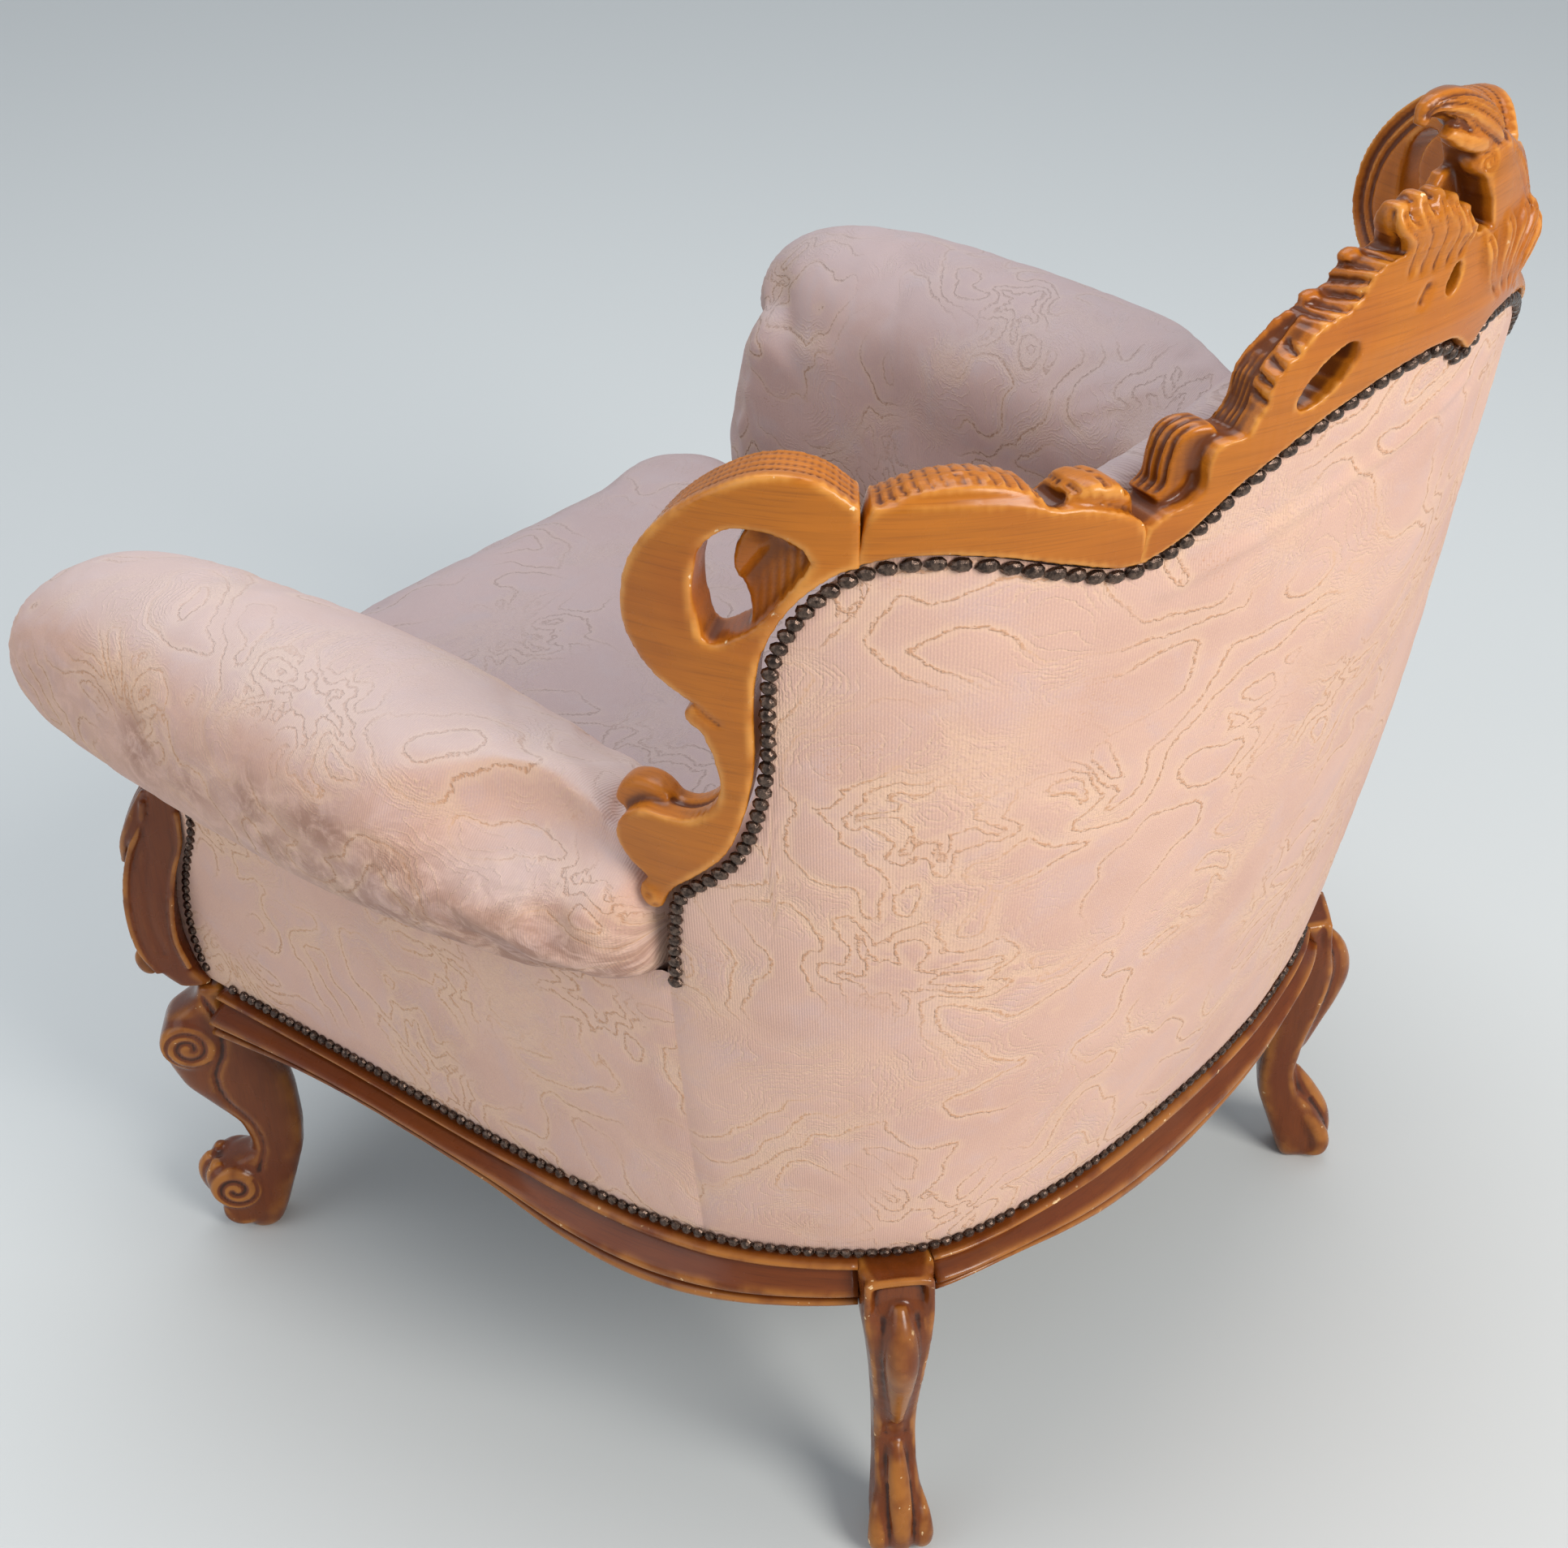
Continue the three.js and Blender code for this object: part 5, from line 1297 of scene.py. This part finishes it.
def rosette(side, word):
    """A turned flower with eight petals round a button, on the front end of the roll."""
    facing = np.array([side * 0.28, -1, -0.12])
    facing /= np.linalg.norm(facing)
    foot = np.array([side * 417, -411 + SHIFT_Y, 571]) + facing * 1.2
    u = np.cross(facing, [0, 0, 1])
    u /= np.linalg.norm(u)
    v = np.cross(u, facing)
    profile = [(0.2, 0), (15, 0), (16, 1.5), (16, 4), (14.8, 5.6), (13, 7.4), (11.4, 8.2), (10.8, 9.2),
               (10.9, 10.8), (9.8, 12.6), (7.8, 14.6), (5.2, 16.2), (2.4, 16.9), (0.2, 17)]
    fine = spline(profile, 60)
    a = np.arange(72) / 72 * 2 * np.pi
    petal = np.exp(-((fine[:, 0] - 13.5) / 3.2)**2)[:, None] * np.abs(np.sin(4 * a))[None, :]
    r = fine[:, :1] + petal * 1.2
    h = fine[:, 1:2] + 0 * a
    at = (foot + (r * np.cos(a))[:, :, None] * u + (r * np.sin(a))[:, :, None] * v
          + h[:, :, None] * facing)
    flat = at.reshape(-1, 3) * MM
    wooden_piece("rosette_" + word, flat, closed_faces(60, 72), grid_faces(60, 72, True), 5, flat,
                 DARK, "dark_wood", "arm_rosette_" + word)


rosette(1, "left")
rosette(-1, "right")

# ------------------------------------------------------------------ covers and pads

SEAM_S = 408
COVER_FOOT = 272
COVER_TURN = 1.8                  # how far a cover's edges are turned in
ROLL = [
    (415, -416, 571, 16), (414, -411, 571, 32), (411, -398, 574, 47), (406, -373, 580, 60),
    (400, -336, 586, 71), (393, -260, 590, 82), (385, -150, 590, 88), (376, -30, 589, 87),
    (367, 70, 587, 79), (360, 130, 583, 70), (354, 166, 578, 58), (352, 184, 574, 46),
]
ROLL_FINE = spline(ROLL, 260)


def roll_at(y):
    """(x, z, radius) of the roll at depths y."""
    return tuple(np.interp(y, ROLL_FINE[:, 1], ROLL_FINE[:, k]) for k in (0, 2, 3))


def roll_underside(s, out):
    at = tub(np.abs(s), 520, out) / MM
    x, z, r = roll_at(at[..., 1] - SHIFT_Y)
    aside = np.minimum(np.abs(at[..., 0] - x), r * 0.95)
    return z - np.sqrt(r**2 - aside**2)


def cloth_attributes(obj, u, v, stains_and_shade=0.0, shift=(0, 0)):
    """Gives each vertex its place in the cloth, in metres, and the lines woven there."""
    u, v = np.asarray(u, float) + shift[0], np.asarray(v, float) + shift[1]
    put_attribute(obj, "cloth", np.stack([u, v, 0 * u], -1) * MM)
    put_attribute(obj, "weave", raised(u, v)[1])
    put_attribute(obj, "stains_and_shade", np.broadcast_to(stains_and_shade, u.shape))


def cover(name, node, s, z, shift, extra=0.0, place=tub, look=ROSE):
    """A stretched cover over a grid of s and z, its edges turned in over the frame."""
    rows, columns = s.shape
    high, _ = raised(s + shift[0], z + shift[1])
    edge = np.ones_like(s)
    for k in range(4):
        fade = (k / 4)**0.5
        for cut in ((k, slice(None)), (-1 - k, slice(None)), (slice(None), k), (slice(None), -1 - k)):
            edge[cut] = np.minimum(edge[cut], fade)
    out = (high + extra) * edge - COVER_TURN * (1 - edge)
    at = place(s, z, out)
    obj = new_object(name, at.reshape(-1, 3), grid_faces(rows, columns))
    cloth_attributes(obj, s.ravel(), z.ravel(), 0.0, shift)
    finish_piece(obj, look, "cover_fabric", node)


CELL = 4.0 if FINE else 6.0
BEHIND_ROLL_S, BEHIND_ROLL_TOP = 393, 541
BACK_RUN, EVEN_Z = 640, 500        # the cover's longest run, and the height up to which rows are level


def outside_back():
    """The grid of the outside back: up to the nail line, and short of it behind the rolls."""
    columns = int(2 * SEAM_S / CELL)
    rows = int(BACK_RUN / CELL)
    s = np.linspace(-SEAM_S, SEAM_S, columns)[None, :]
    v = np.linspace(0, 1, rows)[:, None]
    drop = smooth_step(np.abs(s), BEHIND_ROLL_S + 5, SEAM_S)
    top = (nail_height(s) + 4) * (1 - drop) + BEHIND_ROLL_TOP * drop
    share = (EVEN_Z - COVER_FOOT) / BACK_RUN
    low = COVER_FOOT + (EVEN_Z - COVER_FOOT) * np.minimum(v / share, 1)
    z = low + (top - EVEN_Z) * np.maximum((v - share) / (1 - share), 0)
    return s + 0 * z, z


CREASE = ((168, 822), (137, 835), (60, 864), (-4, 885), (-30, 893))


def crease(s, z):
    """The faint ridge the cover pulls into over the edge of the stuffing, below the crest."""
    line = spline(CREASE, 90)
    away = np.min(np.hypot(s[..., None] - line[:, 0], z[..., None] - line[:, 1]), axis=-1)
    return 1.3 * np.exp(-(away / 6)**2) - 0.9 * np.exp(-((away - 9) / 6)**2) * (z < 900)


s, z = outside_back()
ripples = 0.9 * noise2(s / 160, z / 240, 41) + crease(s, z)
cover("outside_back_cover", "outside_back", s, z, (0, 0), ripples)

for side, word in ((1, "left"), (-1, "right")):
    columns, rows = int(480 / CELL), int(250 / CELL)
    u = np.linspace(0, 1, columns)[None, :]
    v = np.linspace(0, 1, rows)[:, None]
    along = SEAM_S + (POST_EDGE_S[0] - SEAM_S) * u
    top = roll_underside(along, -4) + 7
    z = COVER_FOOT + (top - COVER_FOOT) * v
    s = side * (SEAM_S + (table(POST_EDGE_Z, POST_EDGE_S, z) + BEHIND_POST - SEAM_S) * u)
    if side < 0:
        s, z = s[:, ::-1], z[:, ::-1]
    cover("side_cover_cloth_" + word, "side_cover_" + word, s, z, (900 * side, 40))

# The two narrow sheets: the strip over the front rail and the black lining underneath.

SEAT_FRAME_TOP, TURNED_BACK = 343, 34
FRONT_RUN = 800
t = np.linspace(0.026, 0.974, int(740 / CELL))[None, :]
up = np.linspace(0, 1, int(105 / CELL))[:, None]
z = COVER_FOOT + (SEAT_FRAME_TOP + TURNED_BACK - COVER_FOOT) * up + 0 * t
s = FRONT_RUN * t + 0 * z


def over_frame(s, z, out):
    """Up the front, then turned back over the top of the seat frame."""
    over = np.maximum(z - SEAT_FRAME_TOP, 0)
    level = np.minimum(z, SEAT_FRAME_TOP) + out * np.minimum(over / 8, 1)
    return front(s / FRONT_RUN, level, out * (over < 8) - over)


# The front strip wears the shaded copy of the rose cloth: painted shade.
cover("front_cover_cloth", "front_cover", s, z, (2000, 300),
      place=over_frame, look=ROSE_IN_SHADE)
LINING_Z, LINING_IN = 267, -41     # the lining's height, and how far inside the cover its edge lies


def lining():
    """Black cloth tacked under the seat, sagging a little between the rails."""
    low, high = (np.array(v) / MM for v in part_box("dust_cover"))
    edge = tub(np.linspace(-RAIL_END_S, RAIL_END_S, 160), LINING_Z, LINING_IN)[:, :2] / MM
    fore = front(np.linspace(0.95, 0.05, 90), LINING_Z, LINING_IN)[:, :2] / MM
    outline = np.vstack([edge, fore])
    rings, rows = [], 26
    middle = np.array([0, (low[1] + high[1]) / 2])
    for share in np.linspace(1, 0.02, rows):
        at = middle + (outline - middle) * share
        sag = -1.5 * np.sin(np.pi * min(1, (1 - share) * 1.2) / 2)
        wave = 0.4 * noise2(at[:, 0] / 60, at[:, 1] / 60, 33) * min(1, (1 - share) * 6)
        rings.append(np.column_stack([at, LINING_Z + sag + wave]))
    verts = np.vstack(rings)
    count = len(outline)
    faces = grid_faces(rows, count, True).tolist() + [[(rows - 1) * count + i for i in range(count)]]
    obj = new_object("lining_cloth", verts * MM, faces)
    finish_piece(obj, LINING, "lining", "dust_cover")


lining()

# Stuffed parts: a closed skin in mm of the row frame, blown up a little as cloth, then dressed.


def in_row(part):
    """Turns a part modelled in s, z and out into mm of the row frame."""
    verts, faces = part
    return tub(verts[:, 0], verts[:, 1], verts[:, 2]) / MM, faces


def puffed(verts, quads, held, cap, pressure=4.0, frames=20):
    """The skin after a short cloth simulation under pressure; no point moves more than cap mm."""
    if not FINE:
        return verts
    obj = new_object("puff", verts * MM, quads.tolist())
    group = obj.vertex_groups.new(name="held")
    for i, share in enumerate(held):
        if share > 0.01:
            group.add([i], float(share), "REPLACE")
    cloth = obj.modifiers.new("cloth", "CLOTH")
    set_up = cloth.settings
    set_up.quality = 5
    set_up.mass = 0.25
    set_up.tension_stiffness = set_up.compression_stiffness = 14
    set_up.shear_stiffness = 8
    set_up.bending_stiffness = 0.6
    set_up.use_pressure = True
    set_up.uniform_pressure_force = pressure
    set_up.shrink_min = -0.03
    set_up.vertex_group_mass = "held"
    set_up.effector_weights.gravity = 0
    cloth.collision_settings.use_collision = False
    cloth.point_cache.frame_end = frames
    scene = bpy.context.scene
    for frame_number in range(1, frames + 1):
        scene.frame_set(frame_number)
    done = obj.evaluated_get(bpy.context.evaluated_depsgraph_get())
    at = np.empty(len(verts) * 3)
    done.data.vertices.foreach_get("co", at)
    scene.frame_set(1)
    bpy.data.objects.remove(obj)
    move = at.reshape(-1, 3) / MM - verts
    length = np.maximum(np.linalg.norm(move, axis=1), 1e-6)
    return verts + move * np.minimum(1, cap / length)[:, None]


def doubled(verts, quads):
    """The skin with each face cut in four and rounded."""
    mesh = bpy.data.meshes.new("coarse")
    mesh.from_pydata(verts.tolist(), [], quads.tolist())
    return reshaped(mesh, "SUBSURF", levels=1)


def dressed(name, nodes, verts, quads, place, shift, look, stains_and_shade=None, extra=None, side=1):
    n = normals_of(verts, quads)
    u, v = place(verts)
    high = raised(u + shift[0], v + shift[1])[0]
    if extra is not None:
        high = high + extra(verts)
    verts = verts + n * high[:, None]
    marks = np.zeros(len(verts)) if stains_and_shade is None else stains_and_shade(verts)
    if side < 0:
        verts, quads = verts * [-1, 1, 1], np.ascontiguousarray(quads[:, ::-1])
    obj = new_object(name, verts * MM, quads)
    cloth_attributes(obj, u, v, marks, shift)
    finish_piece(obj, look, "cover_fabric", *nodes)
    return obj


WALL_IN, WALL_OUT = -86, -31
# Height, place along the tub, radius and spread towards the post of the wall's rounded front.
FRONT_COLUMN = [(338, 922, 18, 4), (352, 926, 23, 6), (380, 944, 26, 5), (410, 966, 26, 3),
                (445, 978, 24, 1), (500, 966, 24, 0), (560, 950, 24, 0), (600, 930, 20, 0)]
NOSE_X, NOSE_Z = 415, 572          # where the pleats of the roll's front end meet


ROLL_NOSE = [(415, -421, 571, 4), (415, -419.5, 571, 10)]
ROLL_TAIL = [(351, 186, 573.5, 38), (351, 187, 573.5, 20)]


def arm_skin():
    """The roll, its rounded nose and the padded wall below it, as one skin."""
    a = np.arange(48) / 48 * 2 * np.pi
    rings = []
    for x, y, z, r in np.vstack([ROLL_NOSE, ROLL_FINE[::5], ROLL_TAIL]):
        rings.append(np.stack([x + r * np.cos(a), 0 * a + y + SHIFT_Y, z + r * np.sin(a)], 1))
    roll = loft(np.array(rings)[:, ::-1])
    top = [(s, float(roll_at(tub(s, 520, -60)[1] / MM - SHIFT_Y)[1])) for s in range(430, 941, 25)]
    outline = [(326, 343), (930, 343), (966, 400), (972, 450), (960, 500), (945, 560)] + top[::-1]
    outline += [(414, 592), (392, 612), (374, 630), (358, 664), (346, 694), (332, 694), (326, 600)]
    wall = in_row(slab(outline, [], WALL_IN, WALL_OUT, 12))
    post = []
    for z, s, r, aside in FRONT_COLUMN:
        c = tub(s, z, -62) / MM
        post.append(np.stack([c[0] + aside + (r + aside) * np.cos(a), c[1] + r * np.sin(a), 0 * a + z], 1))
    front_end = loft(np.array(post))
    return fused([roll, wall, front_end], 9, 5)


def section_of(verts):
    """For points on the arm: how far along it they are, their angle round the roll from the top
    and distance from its middle, and the roll's x, z and radius there."""
    x, y, z = verts.T
    cx, cz, r = roll_at(y - SHIFT_Y)
    return y - SHIFT_Y, np.arctan2(x - cx, z - cz), np.hypot(x - cx, z - cz), cx, cz, r


def arm_place(verts):
    """Cloth coordinates on the arm: along it, and round it and down its inner face."""
    y, angle, away, cx, cz, r = section_of(verts)
    angle = np.clip(angle, -np.pi / 2, np.pi)
    down = np.maximum(cz - verts[:, 2], 0) * smooth_step(cx - verts[:, 0], 10, 55)
    v = 82 * angle - down
    near_nose = smooth_step(-y, 385, 440) * smooth_step(-away, -r - 12, -r * 0.5)
    return y - 55 * near_nose * (1 - away / 80), v


def volute_dent(verts):
    """Draws the back end of the roll in behind the flat face of the scroll's lower volute."""
    x, y, z = verts.T
    above = smooth_step(z, 545, 640)
    behind = smooth_step(y - SHIFT_Y, -30, 118)
    limit = 373 + 100 * (1 - above * behind)
    out = verts.copy()
    over = (x - limit) / 11
    out[:, 0] = x - 11 * 0.92 * np.log1p(np.exp(np.clip(over, -30, 12)))
    return out


def arm_gathers(verts):
    """Pleats drawn in to the rosette, soft pulls along the wall and a seam by the seat."""
    y = verts[:, 1] - SHIFT_Y
    phi = np.arctan2(verts[:, 0] - NOSE_X, verts[:, 2] - NOSE_Z)
    from_button = np.hypot(verts[:, 0] - NOSE_X, verts[:, 2] - NOSE_Z)
    on_nose = smooth_step(-(y + 386), -22, 18)
    fold = np.cos(23 * phi + 1.6 * np.sin(3 * phi) + 0.8 * np.sin(7 * phi))
    reach = smooth_step(from_button, 10, 20) * (1 - smooth_step(from_button, 34, 70))
    pleats = -2.2 * on_nose * reach * (1 - np.abs(fold)**0.6)
    dimple = -3.5 * np.exp(-((from_button / 20)**2)) * on_nose
    pull = 1.2 * noise2(y / 95, verts[:, 2] / 260, 12) + 0.7 * noise2(y / 40, verts[:, 2] / 120, 13)
    tuck = -5.0 * np.exp(-(((verts[:, 0] - 308) / 30)**2)) * np.exp(-(((verts[:, 2] - 470) / 26)**2)) \
        * np.exp(-(((y + 20) / 30)**2))
    return pleats + dimple + pull + tuck


# Each stain: its place along the roll, height, half length, half height and strength.
STAINS = [(755, 581, 16, 26, 0.9), (632, 596, 14, 18, 0.8), (567, 600, 26, 12, 0.9),
          (498, 540, 46, 12, 1.0), (430, 545, 42, 14, 1.0), (610, 560, 34, 12, 0.5),
          (700, 575, 22, 12, 0.5), (520, 590, 30, 14, 0.5)]


def arm_stains_and_shade(verts):
    """The brown stains on the outer side of the near roll, with painted shade on its outer side and more on
    its lower side towards the back.
    """
    y, angle, _, cx, _, _ = section_of(verts)
    s = 560 - (y + 20)
    out = np.zeros(len(verts))
    for at, z, wide, tall, strong in STAINS:
        mark = np.exp(-(((s - at) / wide)**2) - (((verts[:, 2] - z) / tall)**2))
        out = np.maximum(out, strong * mark)
    outer = smooth_step(verts[:, 0] - cx, 0, 30)
    # Painted shade in the stain colour: the outer side of the roll, and more its lower side towards the
    # back.
    low = 0.62 * smooth_step(angle, 0.9, 2.0) * smooth_step(y, -190, 120)
    low += 0.3 * smooth_step(angle, 0.4, 1.5)
    return np.clip(out * outer + low, 0, 1)


def make_arms():
    verts, quads = arm_skin()
    hold = 1 - smooth_step(verts[:, 2], 352, 372)
    hold = np.maximum(hold, smooth_step(verts[:, 1] - SHIFT_Y, 150, 172) * 0.9)
    verts = puffed(verts, quads, hold, 7)
    verts, quads = doubled(volute_dent(verts), quads)
    for side, word in ((1, "left"), (-1, "right")):
        # The far arm gets the shaded copy of the rose cloth: painted shade.
        dressed("arm_" + word, ("arm_roll_" + word, "inside_arm_" + word), verts, quads, arm_place,
                (300 + 1700 * side, 500 - 260 * side), ROSE if side > 0 else ROSE_IN_SHADE,
                arm_stains_and_shade if side > 0 else None, arm_gathers, side)


make_arms()

# Height, and how far the seat's skin lies inside its widest outline there.
SEAT_RINGS = [(342, 30), (345, 18), (356, 8), (400, 2), (430, 0), (448, 5), (462, 17), (472, 34),
              (479, 62), (483, 100), (485, 160), (486, 220)]
SEAT_TOP = SEAT_RINGS[-1][0]
SEAT_SIDE, SEAT_FRONT, SEAT_BACK, SEAT_CORNER = 282, -426, 258, 66


def seat_skin():
    """The crowned seat, square in front, rounded behind, bowed out along the front."""
    rings = []
    a = np.linspace(0, np.pi / 2, 14)
    for z, inset in SEAT_RINGS:
        half, fore, back = SEAT_SIDE - inset, SEAT_FRONT + inset, SEAT_BACK - inset * 0.8
        corner = max(12, SEAT_CORNER - inset * 0.35)
        rear = max(14, 110 - inset * 0.5)
        ring = [(half - corner + corner * np.sin(t), fore + corner - corner * np.cos(t)) for t in a]
        ring += [(half - rear + rear * np.cos(t), back - rear + rear * np.sin(t)) for t in a]
        ring += [(-x, y) for x, y in ring[::-1]]
        ring = np.array(ring)
        bow = 9 * (1 - (ring[:, 0] / half)**2) * smooth_step(-ring[:, 1], -fore - 90, -fore)
        rings.append(np.column_stack([ring[:, 0], ring[:, 1] - bow + SHIFT_Y, np.full(len(ring), z)]))
    return fused([loft(np.array(rings))], 9.5, 5)


def seat_place(verts):
    x, y, z = verts[:, 0], verts[:, 1] + 80, verts[:, 2]
    grow = np.maximum(SEAT_TOP - z, 0)
    return x * (1 + grow / 300), y * (1 + grow / 350)


def seat_sag(verts):
    """A sat-in hollow, creases running out from it and a soft ridge along the front."""
    x, y, z = verts[:, 0], verts[:, 1], verts[:, 2]
    top = smooth_step(z, 455, 480)
    hollow = -9 * np.exp(-((x / 190)**2) - (((y + 90) / 190)**2))
    waves = 1.6 * noise2(x / 120, y / 90, 14) + 0.8 * noise2(x / 45, y / 60, 15)
    front_ease = 1.1 * noise2(x / 60, z / 200, 16) * smooth_step(-y, 380, 430)
    return (hollow + waves) * top + front_ease


def make_seat():
    verts, quads = seat_skin()
    verts = puffed(verts, quads, 1 - smooth_step(verts[:, 2], 350, 366), 8)
    verts, quads = doubled(verts, quads)
    # The seat wears the shaded copy of the rose cloth: painted shade.
    dressed("seat_cushion", ("seat_pad",), verts, quads, seat_place, (40, -700), ROSE_IN_SHADE,
            None, seat_sag)


make_seat()

BACK_EDGE, BACK_CROWN = -60, 54     # out of the pad's face at its edge, and its swell from there
BACK_TOP_S = [0, 80, 130, 180, 240, 300, 340]
BACK_TOP_Z = [952, 938, 905, 876, 872, 852, 700]


def back_skin():
    """The padded inside of the back, following the frame's edge and crowned in the middle."""
    half_top = [(s, float(np.interp(s, BACK_TOP_S, BACK_TOP_Z))) for s in range(0, 301, 20)]
    side_down = [(328, 800), (342, 745), (354, 690), (352, 640), (347, 590), (340, 500), (334, 402)]
    half = half_top + side_down
    outline = [(-s, z) for s, z in half[::-1]] + half[1:]

    def face(p):
        wide = np.interp(p[:, 1], [402, 600, 690, 850, 950], [336, 350, 356, 320, 160])
        across = np.clip(1 - (p[:, 0] / np.maximum(wide, 60))**2, 0, 1)
        top = np.interp(np.abs(p[:, 0]), BACK_TOP_S, BACK_TOP_Z)
        up = np.clip((top - p[:, 1]) / 90, 0, 1)
        round_top = 1 - (1 - up)**2
        belly = np.interp(p[:, 1], [402, 470, 600, 760, 880, 950], [0.6, 0.85, 1.0, 0.8, 0.55, 0.4])
        return BACK_EDGE - BACK_CROWN * belly * across**0.5 * round_top**0.6

    verts, faces = slab(outline, [], face, -30, 14)
    return fused([in_row((verts, faces))], 9.5, 8)


def back_place(verts):
    return verts[:, 0], verts[:, 2]


def back_pull(verts):
    x, z = verts[:, 0], verts[:, 2]
    return 1.5 * noise2(x / 90, z / 150, 17) + 0.8 * noise2(x / 40, z / 70, 18)


def make_back():
    verts, quads = back_skin()
    verts = puffed(verts, quads, 1 - smooth_step(-verts[:, 1], -330, -240) * 0.98, 10)
    verts, quads = doubled(verts, quads)
    # The inside back wears the shaded copy of the rose cloth: painted shade.
    dressed("inside_back_pad", ("inside_back",), verts, quads, back_place, (-400, 900), ROSE_IN_SHADE,
            None, back_pull)


make_back()

# ------------------------------------------------------------------ plain hidden pieces

RAW_NODES = ("seat_frame", "rear_corner", "front_corner", "back_upright", "back_stretcher", "arm_rail")
for node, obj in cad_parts.items():
    if node.startswith(RAW_NODES) or "strap" in node:
        for part in obj.material_slots:
            part.material = WEBBING if "strap" in node else RAW

# ------------------------------------------------------------------ floor

floor = new_object("floor", [(-30, -30, 0), (30, -30, 0), (30, 30, 0), (-30, 30, 0)], [[0, 1, 2, 3]])
floor_look = Look("floor")
floor_look.set(Base_Color=(0.62, 0.64, 0.63, 1), Roughness=0.9)
floor.data.materials.append(floor_look.material)
floor.location.z = -0.0005
